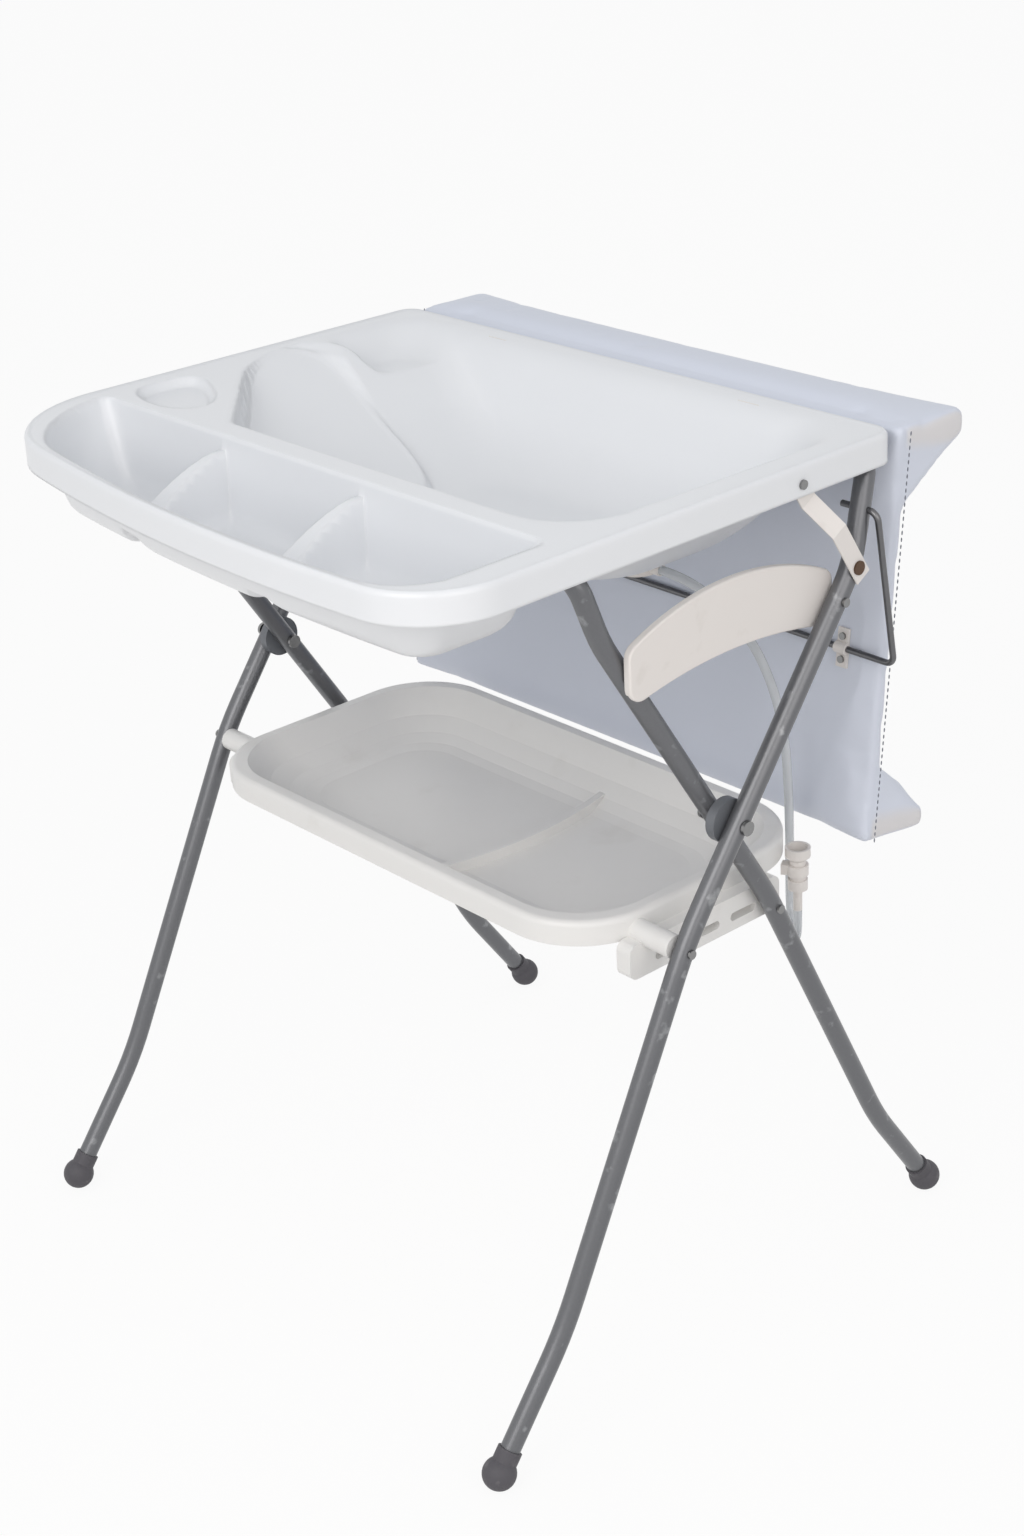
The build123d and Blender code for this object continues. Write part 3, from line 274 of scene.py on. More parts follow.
def scuffs(material, colour, amount, scale):
    """Small worn spots in a lighter or darker colour, where a coarse noise rises above a threshold."""
    tree = material.node_tree
    base = tree.nodes["Principled BSDF"].inputs["Base Color"]
    first = base.links[0].from_socket
    place = next(node for node in tree.nodes if node.type == "TEX_COORD")
    noise = tree.nodes.new("ShaderNodeTexNoise")
    noise.inputs["Scale"].default_value = scale
    noise.inputs["Detail"].default_value = 8.0
    spots = tree.nodes.new("ShaderNodeMapRange")
    spots.inputs["From Min"].default_value = 0.62
    spots.inputs["From Max"].default_value = 0.72
    spots.inputs["To Max"].default_value = amount
    choice = tree.nodes.new("ShaderNodeMix")
    choice.data_type = "RGBA"
    choice.inputs["B"].default_value = (*colour, 1)
    tree.links.new(place.outputs["Object"], noise.inputs["Vector"])
    tree.links.new(noise.outputs["Fac"], spots.inputs["Value"])
    tree.links.new(spots.outputs["Result"], choice.inputs["Factor"])
    tree.links.new(first, choice.inputs["A"])
    tree.links.new(choice.outputs["Result"], base)


bath_white = finish("bath_white", srgb(229, 231, 234), 0.3, tone=0.01, grain=0.04, coat=0.15, coat_rough=0.16)
tray_white = finish("tray_white", srgb(232, 231, 229), 0.36, tone=0.012, grain=0.06)
trim_white = finish("trim_white", srgb(228, 223, 219), 0.38, tone=0.015, grain=0.08)
tube_silver = finish("tube_silver", srgb(110, 111, 114), 0.33, tone=0.07, tone_scale=420.0, metal=0.6,
                     grain=0.2, grain_scale=1400.0)
hub_grey = finish("hub_grey", srgb(112, 115, 120), 0.45, metal=0.2)
foot_rubber = finish("foot_rubber", srgb(82, 80, 85), 0.62, tone=0.05, grain=0.15, grain_scale=420.0)
screw_zinc = finish("screw_zinc", srgb(140, 140, 140), 0.3, metal=1.0, tone=0.1, tone_scale=300.0)
rivet_bronze = finish("rivet_bronze", srgb(96, 76, 62), 0.35, metal=0.9, tone=0.2, tone_scale=200.0)
wire_steel = finish("wire_steel", srgb(112, 112, 114), 0.3, metal=1.0, tone=0.1, tone_scale=120.0)
seal_white = finish("seal_white", srgb(215, 215, 215), 0.5)
hose_clear = finish("hose_clear", srgb(222, 226, 230), 0.22, see_through=0.35, coat=0.2)
panel_vinyl = finish("panel_vinyl", srgb(214, 219, 231), 0.42, tone=0.02, tone_scale=5.0, grain=0.25,
                     grain_scale=520.0, depth=0.0003)
bolster_vinyl = finish("bolster_vinyl", srgb(214, 219, 231), 0.42, tone=0.02, tone_scale=5.0, grain=0.25,
                       grain_scale=520.0, depth=0.0003)
# the stitches' thread is real, but its dark colour is painted shade for the small shadows along the seam
thread_painted_shade = finish("thread_painted_shade", srgb(120, 124, 134), 0.7, tone=0.1, tone_scale=300.0)
raw_board = finish("raw_board", srgb(176, 150, 112), 0.7, tone=0.15, tone_scale=30.0)

second_colour(panel_vinyl, "white_side", srgb(218, 216, 217))
long_waves(panel_vinyl, 11.0, 1.3, 0.004)
scuffs(tube_silver, srgb(176, 178, 180), 0.5, 46.0)
scuffs(foot_rubber, srgb(124, 122, 124), 0.4, 60.0)
scuffs(trim_white, srgb(206, 200, 193), 0.3, 26.0)
scuffs(tray_white, srgb(214, 211, 206), 0.25, 14.0)

dress = {
    "frame_tube": tube_silver, "foot_rubber": foot_rubber, "hub_plastic": hub_grey, "fastener": screw_zinc,
    "white_trim": trim_white, "tub_plastic": bath_white, "strap": trim_white, "rivet": rivet_bronze,
    "drain_seal": seal_white, "hose": hose_clear, "hose_end": trim_white, "pad_vinyl": panel_vinyl,
    "bolster_vinyl": bolster_vinyl, "board": raw_board, "bail_wire": wire_steel,
}
for entry in frame["record"]["subparts"]:
    node = nodes[entry["node"]]
    node.data.materials.clear()
    node.data.materials.append(dress[entry["material_slot"]])
nodes["tray"].data.materials[0] = tray_white
print("finishes", len(bpy.data.materials))

# %% [markdown]
# ## Surfaces from numbers
# Mouldings like the bath are thin sheets with a plan and a depth, so each one is worked out as a grid of
# points in numpy, in millimetres, and handed to Blender in one go. Welding the shared borders and adding
# a Solidify modifier then gives the sheet its wall.

# %% From a grid of points to a piece
def grid_faces(rows, columns, first=0):
    """Four-cornered faces between neighbours of a grid whose points are numbered row by row."""
    number = np.arange(rows * columns).reshape(rows, columns) + first
    corners = (number[:-1, :-1], number[:-1, 1:], number[1:, 1:], number[1:, :-1])
    return np.stack(corners, axis=-1).reshape(-1, 4)


def make_piece(name, points, faces, body, material, weld=0.02):
    """Points in millimetres and faces of four become a smooth object, welded where points meet."""
    mesh = bpy.data.meshes.new(name)
    mesh.vertices.add(len(points))
    mesh.vertices.foreach_set("co", (np.asarray(points, dtype=np.float64) / 1000).ravel())
    mesh.loops.add(4 * len(faces))
    mesh.loops.foreach_set("vertex_index", faces.ravel().astype(np.int32))
    mesh.polygons.add(len(faces))
    mesh.polygons.foreach_set("loop_start", np.arange(len(faces), dtype=np.int32) * 4)
    mesh.polygons.foreach_set("use_smooth", np.ones(len(faces), dtype=bool))
    mesh.update(calc_edges=True)
    work = bmesh.new()
    work.from_mesh(mesh)
    bmesh.ops.remove_doubles(work, verts=work.verts, dist=weld / 1000)
    bmesh.ops.dissolve_degenerate(work, edges=work.edges, dist=weld / 4000)
    work.to_mesh(mesh)
    work.free()
    piece = bpy.data.objects.new(name, mesh)
    bpy.context.scene.collection.objects.link(piece)
    mesh.materials.append(material)
    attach(piece, body)
    print(name, len(mesh.vertices), "points", len(mesh.polygons), "faces")
    return piece


def wall(piece, thickness):
    """A Solidify modifier that grows inwards, away from the faces' outside."""
    solid = piece.modifiers.new("wall", "SOLIDIFY")
    solid.thickness = thickness / 1000
    solid.offset = -1
    solid.use_even_offset = False
    return solid


# %% [markdown]
# ## Hollows
# A moulded hollow is easiest to describe from the top down: at each depth it has an outline with rounded
# corners, and the outlines shrink as the walls lean in and curve under to the floor. Asking each point of
# the plan at which depth the outline passes through it turns that stack of outlines into a smooth surface.

# %% Outlines and depths
def round_join(a, b, radius):
    """Two signed distances joined as walls that meet in a corner of the given radius."""
    inner = np.minimum(np.maximum(a + radius, b + radius), 0)
    outer = np.hypot(np.maximum(a + radius, 0), np.maximum(b + radius, 0))
    return inner + outer - radius


def soft_min(a, b, reach):
    """The smaller of two fields, with the crease between them smoothed over the given reach."""
    share = np.clip(0.5 + 0.5 * (b - a) / reach, 0, 1)
    return b * (1 - share) + a * share - reach * share * (1 - share)


def turned_edge(depths, radius):
    """How far an edge rounded by the radius stands back from its wall at each depth."""
    above = np.clip(radius - depths, 0, radius)
    return radius - np.sqrt(radius**2 - above**2)


def wall_levels(full, top_round, bottom_round, steps=14):
    """Depths from top to floor, dense in the roundings, and how far the floor's rounding comes in."""
    turn = np.linspace(0, np.pi / 2, steps)
    upper = top_round * (1 - np.cos(turn[:-1]))
    lower = full - bottom_round * (1 - np.sin(turn))
    middle = np.linspace(top_round, full - bottom_round, steps + 2)[1:-1]
    depths = np.unique(np.concatenate([upper, middle, lower]).round(4))
    into = np.maximum(0, depths - (full - bottom_round))
    return depths, bottom_round - np.sqrt(np.maximum(0, bottom_round**2 - into**2))


def outline_distance(x, y, corners):
    """Distance to a closed chain of corners, negative inside it: the nearest of all its sides counts, and a
    point lies inside when a line drawn from it to one side crosses the chain an odd number of times."""
    nearest = np.full(x.shape, 1e6)
    inside = np.zeros(x.shape, dtype=bool)
    for (ax, ay), (bx, by) in zip(corners, np.roll(corners, -1, axis=0)):
        along = (x - ax) * (bx - ax) + (y - ay) * (by - ay)
        share = np.clip(along / ((bx - ax) ** 2 + (by - ay) ** 2), 0, 1)
        nearest = np.minimum(nearest, np.hypot(x - ax - share * (bx - ax), y - ay - share * (by - ay)))
        if ay != by:
            inside ^= ((ay > y) != (by > y)) & (x < (bx - ax) * (y - ay) / (by - ay) + ax)
    return np.where(inside, -nearest, nearest)


def worn_corners(corners, times=3):
    """A closed chain whose corners are cut off a few times, which leaves a smooth curve."""
    for _ in range(times):
        after = np.roll(corners, -1, axis=0)
        pair = [0.75 * corners + 0.25 * after, 0.25 * corners + 0.75 * after]
        corners = np.stack(pair, axis=1).reshape(-1, 2)
    return corners


def hollow_depth(x, y, depths, outline):
    """The depth at which the outline's signed distance crosses nought, found between neighbouring levels."""
    found = np.zeros_like(x)
    before = outline(x, y, 0)
    for level in range(1, len(depths)):
        now = outline(x, y, level)
        crossed = (before <= 0) & (now > 0)
        share = before / np.where(crossed, before - now, 1)
        found = np.where(crossed, depths[level - 1] + share * (depths[level] - depths[level - 1]), found)
        before = now
    return np.where(before <= 0, depths[-1], found)


# %% [markdown]
# ## The bath
# The real bath is one glossy moulding: a rim that rounds over into a skirt, a basin with a long slope for
# the baby's back, a soap dish, a sponge corner, and three pockets along the bowed front. The grid's rows
# follow the bow at the front and straighten towards the basin, so that every steep wall runs along them.

# %% The bath's plan
pivot_y = 14.5
bath_top = 985.0
rim_round = 7.0
rear_edge, rear_corner_x, rear_corner_radius = 263.5, 360, 24
side_flare, flare_run = 11, 588
bow_front, bow_fall, bow_peak, bow_span = -387.5, 63, 149.8, 544.8
divider_places = (-149.8, 80.6)
fine_step, middle_step, wide_step = 3.3, 4.9, 5.0
# the two front corners: middle and radius of each arc, and how far it has turned where the bow meets it
left_x, left_y, left_radius, left_turn = -242.7, -202.5, 150.0, 0.178
right_x, right_y, right_radius, right_turn = 299.3, -287.6, 95.0, 0.072


def bath_front(x, inset):
    """The bow of the front edge, which stands out most right of the middle, and its two corner arcs."""
    bow = bow_front + bow_fall * ((x - bow_peak) / bow_span) ** 2 + inset * 1.01
    small, large = right_radius - inset, left_radius - inset
    right_arc = right_y - np.sqrt(np.maximum(0, small**2 - np.maximum(0, x - right_x) ** 2))
    left_arc = left_y - np.sqrt(np.maximum(0, large**2 - np.maximum(0, left_x - x) ** 2))
    front = np.where(x > right_x + small * math.sin(right_turn), right_arc, bow)
    return np.where(x < left_x - large * math.sin(left_turn), left_arc, front)


def bath_rear(x, inset):
    """The straight rear edge with its two small corner arcs."""
    radius = rear_corner_radius - inset
    beyond = np.maximum(0, np.abs(x) - rear_corner_x)
    arc = rear_edge - rear_corner_radius + np.sqrt(np.maximum(0, radius**2 - beyond**2))
    return np.where(np.abs(x) < rear_corner_x, rear_edge - inset, arc)


def bath_columns(inset):
    """Places across the bath, closer at the tongue and the dividers, and even round the corner arcs."""
    right = right_x + (right_radius - inset) * np.sin(np.linspace(right_turn, np.pi / 2, 18))
    left = left_x - (left_radius - inset) * np.sin(np.linspace(np.pi / 2, left_turn, 38))
    flat = [np.arange(left[-1] + fine_step, -166, fine_step)]
    for middle_x in divider_places:
        flat.append(np.linspace(middle_x - 15, middle_x + 15, 25))
    flat.append(np.arange(-131, -40, fine_step))
    flat.append(np.arange(-40, 63, middle_step))
    flat.append(np.arange(99, right[0] - 2, wide_step))
    return np.concatenate([left, np.sort(np.concatenate(flat)), right])


def bath_grid(inset):
    """Columns keep their x, except that the flared sides pull the outer ones in towards the rear."""
    x = bath_columns(inset)
    right_share = np.clip((x - right_x) / (right_radius - inset), 0, 1)
    left_share = np.clip((left_x - x) / (left_radius - inset), 0, 1)
    side = right_share + left_share
    pull = np.sign(x) * side * side * (3 - 2 * side)
    middle_y = np.where(x > 0, right_y, left_y)
    lost = side_flare * (rear_edge - middle_y) / flare_run
    front, rear = bath_front(x, inset), bath_rear(x - lost * pull, inset)
    first_stop = np.maximum(-211, front + 3)
    rows = [front + (first_stop - front) * np.linspace(0, 1, 46)[:, None]]
    for stop, count in ((-189, 20), (-140, 16), (110, 72), (234, 24)):
        start = rows[-1][-1]
        rows.append(start + (stop - start) * np.linspace(0, 1, count + 1)[1:, None])
    rows.append(rows[-1][-1] + (rear - rows[-1][-1]) * np.linspace(0, 1, 6)[1:, None])
    y = np.concatenate(rows)
    flare = side_flare * (rear_edge - np.maximum(y, middle_y)) / flare_run - lost
    return x + flare * pull, y


x, y = bath_grid(rim_round)
print("bath grid", x.shape)

# %% [markdown]
# The basin is a soft bowl: its rear and right walls begin with wide roundings. At its left end an arched
# tongue slopes down to the floor, the rest for the baby's back. A steep narrow wall divides it from the deck,
# a lip runs along its free edge, and behind it a deeper trough leads from the sponge corner to the drain.

# %% The bath's depth
def ease(value):
    """A step from nought to one with level ends."""
    value = np.clip(value, 0, 1)
    return value * value * (3 - 2 * value)


basin_deep, bay_deep, recess_deep = 120.0, 104.0, 32.0
basin_depths, basin_tuck = wall_levels(basin_deep, 24.0, 55.0)
sharp_edge, firm_edge, soft_edge = (turned_edge(basin_depths, radius) for radius in (6.0, 9.0, 22.0))


def cut_wall(x, y, level):
    """The steep wall that runs up from the ridge, past the soap dish, and rounds over to the left edge."""
    t = basin_depths[level] / basin_deep
    in_by = 12 * t - sharp_edge[level] + basin_tuck[level]
    return round_join(-(0.6566 * x + 0.7542 * y) - 237, -x - 364, 50) + in_by


def front_wall(y, level):
    """The wall under the ridge that divides the basin from the pockets."""
    return -y + pivot_y - 175 + 87 * basin_depths[level] / basin_deep - firm_edge[level] + basin_tuck[level]


def basin_outline(x, y, level):
    """The leaning walls of the bowl, joined by wide corners, and the wall of the tongue."""
    t = basin_depths[level] / basin_deep
    left = -x - 312 + 190 * t - firm_edge[level] + basin_tuck[level]
    right = x - 340 + 54 * t - soft_edge[level] + basin_tuck[level]
    rear = y - pivot_y - 216 + 64 * t - soft_edge[level] + basin_tuck[level]
    front = front_wall(y, level)
    behind = np.maximum(round_join(left, rear, 36), round_join(right, rear, 64))
    bowl = np.maximum(round_join(right, front, 80), behind)
    return np.maximum(bowl, cut_wall(x, y, level))


def tongue_walls(x, y, level):
    """Only the two walls that the tongue runs up to."""
    return np.maximum(cut_wall(x, y, level), front_wall(y, level))


bay_depths, bay_tuck = wall_levels(bay_deep, 4.0, 26.0)
bay_edge = turned_edge(bay_depths, 4.0)
bay_right_in = 16  # the right wall stands this much nearer the middle than the left one


def bay_outline(x, y, level):
    """The pockets' common outline: bowed in front, straight behind, rounded at all four corners."""
    t = bay_depths[level] / bay_deep
    in_by = bay_tuck[level] - bay_edge[level]
    wide = 370 - 50 * t - in_by
    side = np.maximum(-x, x + bay_right_in) - wide
    rear = y - pivot_y + 206 + 10 * t + in_by
    bow = bow_fall * (wide / 384) ** 2 * (1 - 0.35 * t) * ((x / wide - 0.39) / 1.39) ** 2
    front = -(y - pivot_y + 390 - 60 * t - in_by - bow)
    corner = np.where(x < 0, 130 - 106 * t, 56 - 32 * t)
    return np.maximum(round_join(side, rear, 16), round_join(side, front, corner))


basin = hollow_depth(x, y, basin_depths, basin_outline)
walls = hollow_depth(x, y, basin_depths, tongue_walls)

tongue = worn_corners(np.array([
    (-180, -160), (-266, -114), (-330, -58), (-354, -22), (-366, 12), (-368, 36), (-362, 58), (-347, 76),
    (-318, 86), (-284, 83), (-244, 75), (-199, 67), (-162, 63), (-133, 57), (-106, 46), (-86, 32), (-68, 6),
    (-58, -34), (-56, -90), (-70, -150),
]), 2)
beyond = outline_distance(x, y, tongue)
slope = soft_min(6 + 0.4 * (x + 348), np.full_like(x, 113.0), 24.0)
on_tongue = soft_min(walls, slope, 5.0)
band = 8.5 * ease((20 - beyond) / 16)
beside = np.maximum(basin, soft_min(walls, band, 4.0))
share = ease((beyond + 4.5) / 9)
depth = on_tongue * (1 - share) + beside * share
depth = depth - 1.7 * np.exp(-((beyond + 4.5) / 3.4) ** 2) * ease(depth / 5)

# the sponge corner and the soap dish
recess_depths, recess_tuck = wall_levels(recess_deep, 7.0, 12.0, 10)
recess_edge = turned_edge(recess_depths, 7.0)


def recess_outline(x, y, level):
    """A bowl in the rear left corner, whose outer walls lean in far."""
    t = recess_depths[level] / recess_deep
    in_by = recess_tuck[level] - recess_edge[level]
    left = -x - 360 + 42 * t + in_by
    rear = y - 237 + 42 * t + in_by
    right = x + 252 + 6 * t + in_by
    front = -y + 105 + 8 * t + in_by
    near = np.maximum(round_join(right, front, 20), round_join(left, front, 20))
    return np.maximum(round_join(left, rear, 40), near)


recess = hollow_depth(x, y, recess_depths, recess_outline)
depth = -soft_min(-depth, -recess, 7.0)
dish = worn_corners(np.array([
    (-358, -166), (-368, -134), (-362, -88), (-334, -80), (-268, -113), (-246, -140), (-258, -168),
    (-300, -181),
]), 2)
depth = np.maximum(depth, 12 * ease((2 - outline_distance(x, y, dish)) / 11))

# the pockets, with their dividers standing in them
bays = hollow_depth(x, y, bay_depths, bay_outline)
fall = np.clip((-203 - y) / 120, 0, 1)
divider_top = 19 + 64 * fall**1.45
for middle_x in divider_places:
    half = 2.6 + 7 * fall
    out = np.abs(x - middle_x) - half
    run = bay_tuck - bay_tuck[0] + 9 * bay_depths / bay_deep
    slope = np.interp(out, run, bay_depths, left=0.0)
    slope = np.where(out < 0, 0, slope)
    divider = -soft_min(-slope, -divider_top, 5.0)
    bays = np.where(bays > 0, soft_min(bays, divider, 9.0), bays)
depth = np.maximum(depth, np.maximum(bays, 0))
bath_z = bath_top - depth
print("bath depth", depth.max().round(1))

# %% The bath's rim and skirt
def border(grid):
    """The points round a grid's edge, once round, seen from above and anticlockwise."""
    return np.concatenate([grid[0, :-1], grid[:-1, -1], grid[-1, :0:-1], grid[:0:-1, 0]])


edge = np.stack([border(x), border(y)], axis=1)
ahead, behind = np.roll(edge, -1, axis=0), np.roll(edge, 1, axis=0)
tangent = ahead - behind
outward = np.stack([tangent[:, 1], -tangent[:, 0]], axis=1)
outward /= np.linalg.norm(outward, axis=1, keepdims=True)
turn = np.linspace(0, np.pi / 2, 6)
reach = np.concatenate([rim_round * np.sin(turn), np.full(3, rim_round), [rim_round + 0.3]])
fall_z = np.concatenate([rim_round * (1 - np.cos(turn)), np.linspace(12, 31, 3), [34.0]])
ring_xy = edge[None] + outward[None] * reach[:, None, None]
ring_z = np.broadcast_to((bath_top - fall_z)[:, None, None], (len(reach), len(edge), 1))
ring = np.concatenate([ring_xy, ring_z], axis=2)
ring[0, :, 2] = border(bath_z)
ring = np.concatenate([ring, ring[:, :1]], axis=1)

bath_points = np.concatenate([np.stack([x, y, bath_z], axis=-1).reshape(-1, 3), ring.reshape(-1, 3)])
top_faces = grid_faces(*x.shape)
rim_faces = grid_faces(*ring.shape[:2], first=x.size)[:, ::-1]


def face_middles(points, faces):
    """The middle of each face."""
    return points[faces].mean(axis=1)


# the drain's hole, and the openings in the rear skirt through which the legs pass
drain_x, drain_y, drain_radius = 205, 64.5, 16
leg_x, leg_half_width, leg_drop = 351, 26, 8
middles = face_middles(bath_points, top_faces)
top_faces = top_faces[np.hypot(middles[:, 0] - drain_x, middles[:, 1] - drain_y) > drain_radius]
middles = face_middles(bath_points, rim_faces)
at_leg = np.abs(np.abs(middles[:, 0]) - leg_x) < leg_half_width
notch = (middles[:, 1] > 255) & at_leg & (middles[:, 2] < bath_top - leg_drop)
rim_faces = rim_faces[~notch]
bath_faces = np.concatenate([top_faces, rim_faces])
bath = make_piece("bath", bath_points, bath_faces, "tub", bath_white)
bath_wall = 3.0
wall(bath, bath_wall)
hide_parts("tub_shell")

# %% [markdown]
# ## The drain hose
# A clear hose leaves the drain straight, hangs down behind the right legs and bends back up into its tap
# connector. A hose is one smooth line, so it is a NURBS curve through a few control points with a round
# bevel, and never a chain of straight pipes.

# %% Hose
hose_route = [
    (0.2400, 0.0645, 0.8527), (0.2750, 0.0645, 0.8527), (0.3080, 0.0805, 0.8280), (0.3270, 0.1065, 0.7860),
    (0.3320, 0.1325, 0.7280), (0.3260, 0.1565, 0.6640), (0.3090, 0.1805, 0.5940), (0.2890, 0.2045, 0.5200),
    (0.2790, 0.2155, 0.4550), (0.2783, 0.2167, 0.4190), (0.2934, 0.2038, 0.3990), (0.3149, 0.1854, 0.3990),
    (0.3300, 0.1725, 0.4190), (0.3300, 0.1725, 0.4470),
]
hose_curve = bpy.data.curves.new("hose", "CURVE")
hose_curve.dimensions = "3D"
hose_curve.bevel_depth = 0.005
hose_curve.bevel_resolution = 5
hose_curve.use_fill_caps = True
hose_curve.resolution_u = 10
spline = hose_curve.splines.new("NURBS")
spline.points.add(len(hose_route) - 1)
for point, place in zip(spline.points, hose_route):
    point.co = (*place, 1)
spline.order_u = 3
spline.use_endpoint_u = True
hose = bpy.data.objects.new("hose", hose_curve)
bpy.context.scene.collection.objects.link(hose)
hose_curve.materials.append(hose_clear)
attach(hose, "outer_frame")
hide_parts("drain_hose")

# %% [markdown]
# ## The changing mat
# On the real table the mat is one cushion: a flat board padded on both sides, with a foam wedge along its
# upper and its lower edge, sewn into vinyl. The foam's section is drawn once, carried across the table and
# remeshed evenly. A cloth simulation then blows it up slightly, which rounds the edges and pulls the corners
# in, as a tight cover does. The seam and its stitches come last, since remeshing would erase them.

# %% The mat's own directions
mat_middle = np.array([0.0, 250.5, 752.0])
mat_up = np.array([0.0, 52.0, 476.0])
mat_half = np.linalg.norm(mat_up) / 2
mat_up /= 2 * mat_half
mat_back = np.array([0.0, mat_up[2], -mat_up[1]])
mat_wide = 386.0
slab = 24.0


def mat_place(across, back, up):
    """A point of the mat, given across the table, back from its front face and up along it."""
    aside = across[..., None] * np.array([1.0, 0, 0])
    return mat_middle + aside + back[..., None] * mat_back + up[..., None] * mat_up


def mat_local(points):
    """The same three distances, measured from a point in millimetres."""
    away = points - mat_middle
    return away[:, 0], away @ mat_back, away @ mat_up


shrink = 4.0
mat_section = np.array([
    (0, -mat_half), (0, mat_half), (slab + 88, mat_half), (slab + 88, mat_half - 36),
    (slab, mat_half - 98), (slab, -mat_half + 90), (slab + 84, -mat_half + 35), (slab + 83, -mat_half + 8),
])
print("mat half height", mat_half.round(1))


# %% Foam before its cover is tightened
def inset_outline(outline, distance):
    """A closed outline moved inwards: each corner slides along the bisector of its two sides."""
    before, after = outline - np.roll(outline, 1, axis=0), np.roll(outline, -1, axis=0) - outline
    before /= np.linalg.norm(before, axis=1, keepdims=True)
    after /= np.linalg.norm(after, axis=1, keepdims=True)
    inward = np.stack([before[:, 1] + after[:, 1], -before[:, 0] - after[:, 0]], axis=1)
    return outline + inward * distance / (1 + (before * after).sum(axis=1, keepdims=True))


def foam_block(name, section, half_width):
    """The section at both ends, joined by sides and closed by two caps."""
    count = len(section)
    ends = [mat_place(np.full(count, x), section[:, 0], section[:, 1]) for x in (-half_width, half_width)]
    work = bmesh.new()
    corners = [work.verts.new(p / 1000) for p in np.concatenate(ends)]
    work.faces.new(corners[:count])
    work.faces.new(corners[count:][::-1])
    for i in range(count):
        j = (i + 1) % count
        work.faces.new((corners[i], corners[i + count], corners[j + count], corners[j]))
    bmesh.ops.recalc_face_normals(work, faces=work.faces)
    bmesh.ops.triangulate(work, faces=[f for f in work.faces if len(f.verts) > 4])
    mesh = bpy.data.meshes.new(name)
    work.to_mesh(mesh)
    work.free()
    block = bpy.data.objects.new(name, mesh)
    bpy.context.scene.collection.objects.link(block)
    return block


def bake(piece):
    """Apply the modifiers and keep the result as the piece's own mesh."""
    graph = bpy.context.evaluated_depsgraph_get()
    mesh = bpy.data.meshes.new_from_object(piece.evaluated_get(graph))
    piece.modifiers.clear()
    piece.data = mesh


def coordinates(mesh):
    """The points of a mesh in millimetres, rows of x, y and z."""
    flat = np.empty(3 * len(mesh.vertices))
    mesh.vertices.foreach_get("co", flat)
    return flat.reshape(-1, 3) * 1000


def blow_up(piece, pressure, frames, most):
    """Frames of cloth under air pressure and no weight. No point moves further than the most given."""
    start = coordinates(piece.data)
    cloth = piece.modifiers.new("cloth", "CLOTH").settings
    cloth.use_pressure = True
    cloth.uniform_pressure_force = pressure
    cloth.effector_weights.gravity = 0
    cloth.quality = 4
    cloth.tension_stiffness = cloth.compression_stiffness = 30
    cloth.bending_stiffness = 1.5
    for frame_number in range(1, frames + 1):
        bpy.context.scene.frame_set(frame_number)
    bake(piece)
    moved = coordinates(piece.data) - start
    length = np.linalg.norm(moved, axis=1, keepdims=True)
    kept = start + moved * np.minimum(1, most / np.maximum(length, 1e-6))
    piece.data.vertices.foreach_set("co", (kept / 1000).ravel())
    bpy.context.scene.frame_set(1)
    print(piece.name, "moved at most", length.max().round(1), "mm, kept", most)


mat = foam_block("changing_mat", inset_outline(mat_section, shrink), mat_wide - shrink)
even = mat.modifiers.new("even", "REMESH")
even.mode = "VOXEL"
even.voxel_size = 0.0065
bake(mat)
air_pressure, air_frames, most_moved = 4.0, 20, 7.0
blow_up(mat, air_pressure, air_frames, most_moved)
halves = mat.modifiers.new("halves", "SUBSURF")
halves.levels = halves.render_levels = 1
bake(mat)
print("mat", len(mat.data.vertices), "points")

# %% [markdown]
# The cover has a seam all round, a little behind the front edge, where the board's cover meets the white
# sides. Every point near it is drawn in by a narrow bell curve. The rod and its clips press on the front
# face, so the face stays flat beside them and may crown only further away.

# %% Seam, flat front and dimples
seam_back = 9.0
rod_up = -18.1
# places across and back on the mat's upper edge, with the depth and the size of each dent
dents = (
    (-339, 59, 1.6, 9), (-276, 52, 1.2, 8), (-162, 73, 1.8, 9), (-34, 38, 1.8, 10), (365, 16, 1.5, 8),
)
across, back, up = mat_local(coordinates(mat.data))
on_side = ease((np.abs(across) - mat_wide + 12) / 8)
on_end = ease((np.abs(up) - mat_half + 12) / 8)
pull = 2.6 * np.exp(-((back - seam_back) / 2.6) ** 2)
across -= np.sign(across) * pull * on_side
up -= np.sign(up) * pull * on_end
crown = -3.5 * ease((np.abs(up - rod_up) - 28) / 60)
back = np.maximum(back, crown)
for dent_across, dent_back, depth_mm, size in dents:
    near = np.exp(-((across - dent_across) ** 2 + (back - dent_back) ** 2) / size**2)
    up -= depth_mm * near * ease((up - mat_half + 10) / 6)
mat.data.vertices.foreach_set("co", (mat_place(across, back, up) / 1000).ravel())
white_share = ease((np.abs(across) - mat_wide + 9) / 3) * ease((back - seam_back) / 1.5 + 0.5)
mark = mat.data.attributes.new("white_side", "FLOAT", "POINT")
mark.data.foreach_set("value", white_share.astype(np.float32))
mat.data.polygons.foreach_set("use_smooth", np.ones(len(mat.data.polygons), dtype=bool))
mat.data.materials.clear()
mat.data.materials.append(panel_vinyl)
mat.data.update()
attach(mat, "pad")
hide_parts("pad_panel", "bolster_top", "bolster_bottom")
print("mat reaches", across.max().round(1), back.min().round(1), back.max().round(1), up.max().round(1))
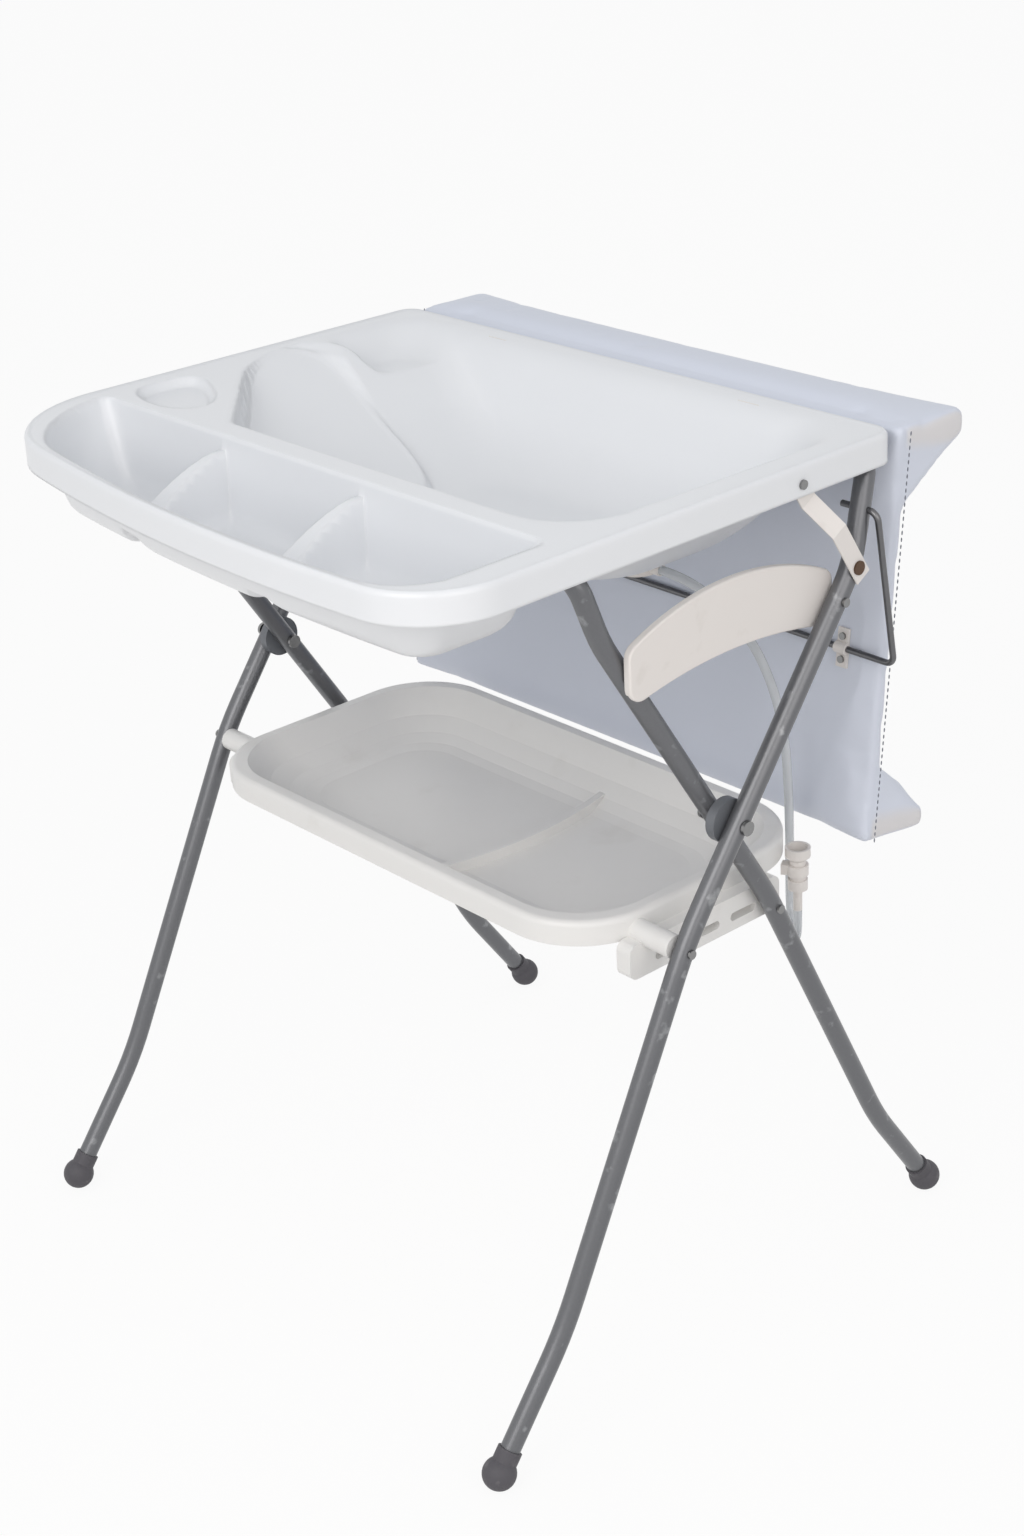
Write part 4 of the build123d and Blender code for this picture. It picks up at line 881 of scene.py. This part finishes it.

# %% [markdown]
# The seam's thread shows as short stitches, coloured dark as painted shade for the small shadows along the
# seam. Each is the same small bead, so its shape is worked out once and placed along the seam, turned to
# follow it.

# %% Stitches
def along_path(corners, pitch, start=0.0):
    """Places every pitch millimetres along a chain of corners, with the direction there."""
    steps = np.diff(corners, axis=0)
    lengths = np.linalg.norm(steps, axis=1)
    done = np.concatenate([[0], np.cumsum(lengths)])
    spots = np.arange(start, done[-1], pitch)
    leg = np.clip(np.searchsorted(done, spots, side="right") - 1, 0, len(steps) - 1)
    places = corners[leg] + steps[leg] * ((spots - done[leg]) / lengths[leg])[:, None]
    return places, steps[leg] / lengths[leg][:, None]


def beads(places, ways, length, radius, rings=4, sides=6):
    """A bead is a sphere stretched along its way: rings times sides points for each place."""
    latitude = np.linspace(0, np.pi, rings + 1)
    turn = np.linspace(0, 2 * np.pi, sides, endpoint=False)
    helper = np.where(np.abs(ways[:, :1]) > 0.9, np.array([[0, 1.0, 0]]), np.array([[1.0, 0, 0]]))
    one = np.cross(ways, helper)
    one /= np.linalg.norm(one, axis=1, keepdims=True)
    other = np.cross(ways, one)
    ring = np.cos(turn)[:, None, None] * one + np.sin(turn)[:, None, None] * other
    bead = places + ways * (-np.cos(latitude)[:, None, None, None] * length / 2)
    bead = bead + ring[None] * (np.sin(latitude)[:, None, None, None] * radius)
    bead = np.moveaxis(bead, 2, 0)
    bead = np.concatenate([bead, bead[:, :, :1]], axis=2)
    each = (rings + 1) * (sides + 1)
    faces = [grid_faces(rings + 1, sides + 1, first=k * each) for k in range(len(places))]
    return bead.reshape(-1, 3), np.concatenate(faces)


stitch_pitch, stitch_length, stitch_radius = 7.5, 5.2, 0.8
side_x, side_up = mat_wide - 1.2, mat_half - 14
stitch_points, stitch_faces = [], []
for way in (1, -1):
    line = mat_place(np.full(2, way * side_x), np.full(2, seam_back), np.array([-side_up, side_up]))
    places, ways = along_path(line, stitch_pitch)
    points, faces = beads(places, ways, stitch_length, stitch_radius)
    stitch_faces.append(faces + sum(len(p) for p in stitch_points))
    stitch_points.append(points)
make_piece("mat_stitches", np.concatenate(stitch_points), np.concatenate(stitch_faces), "pad",
           thread_painted_shade, weld=0.001)
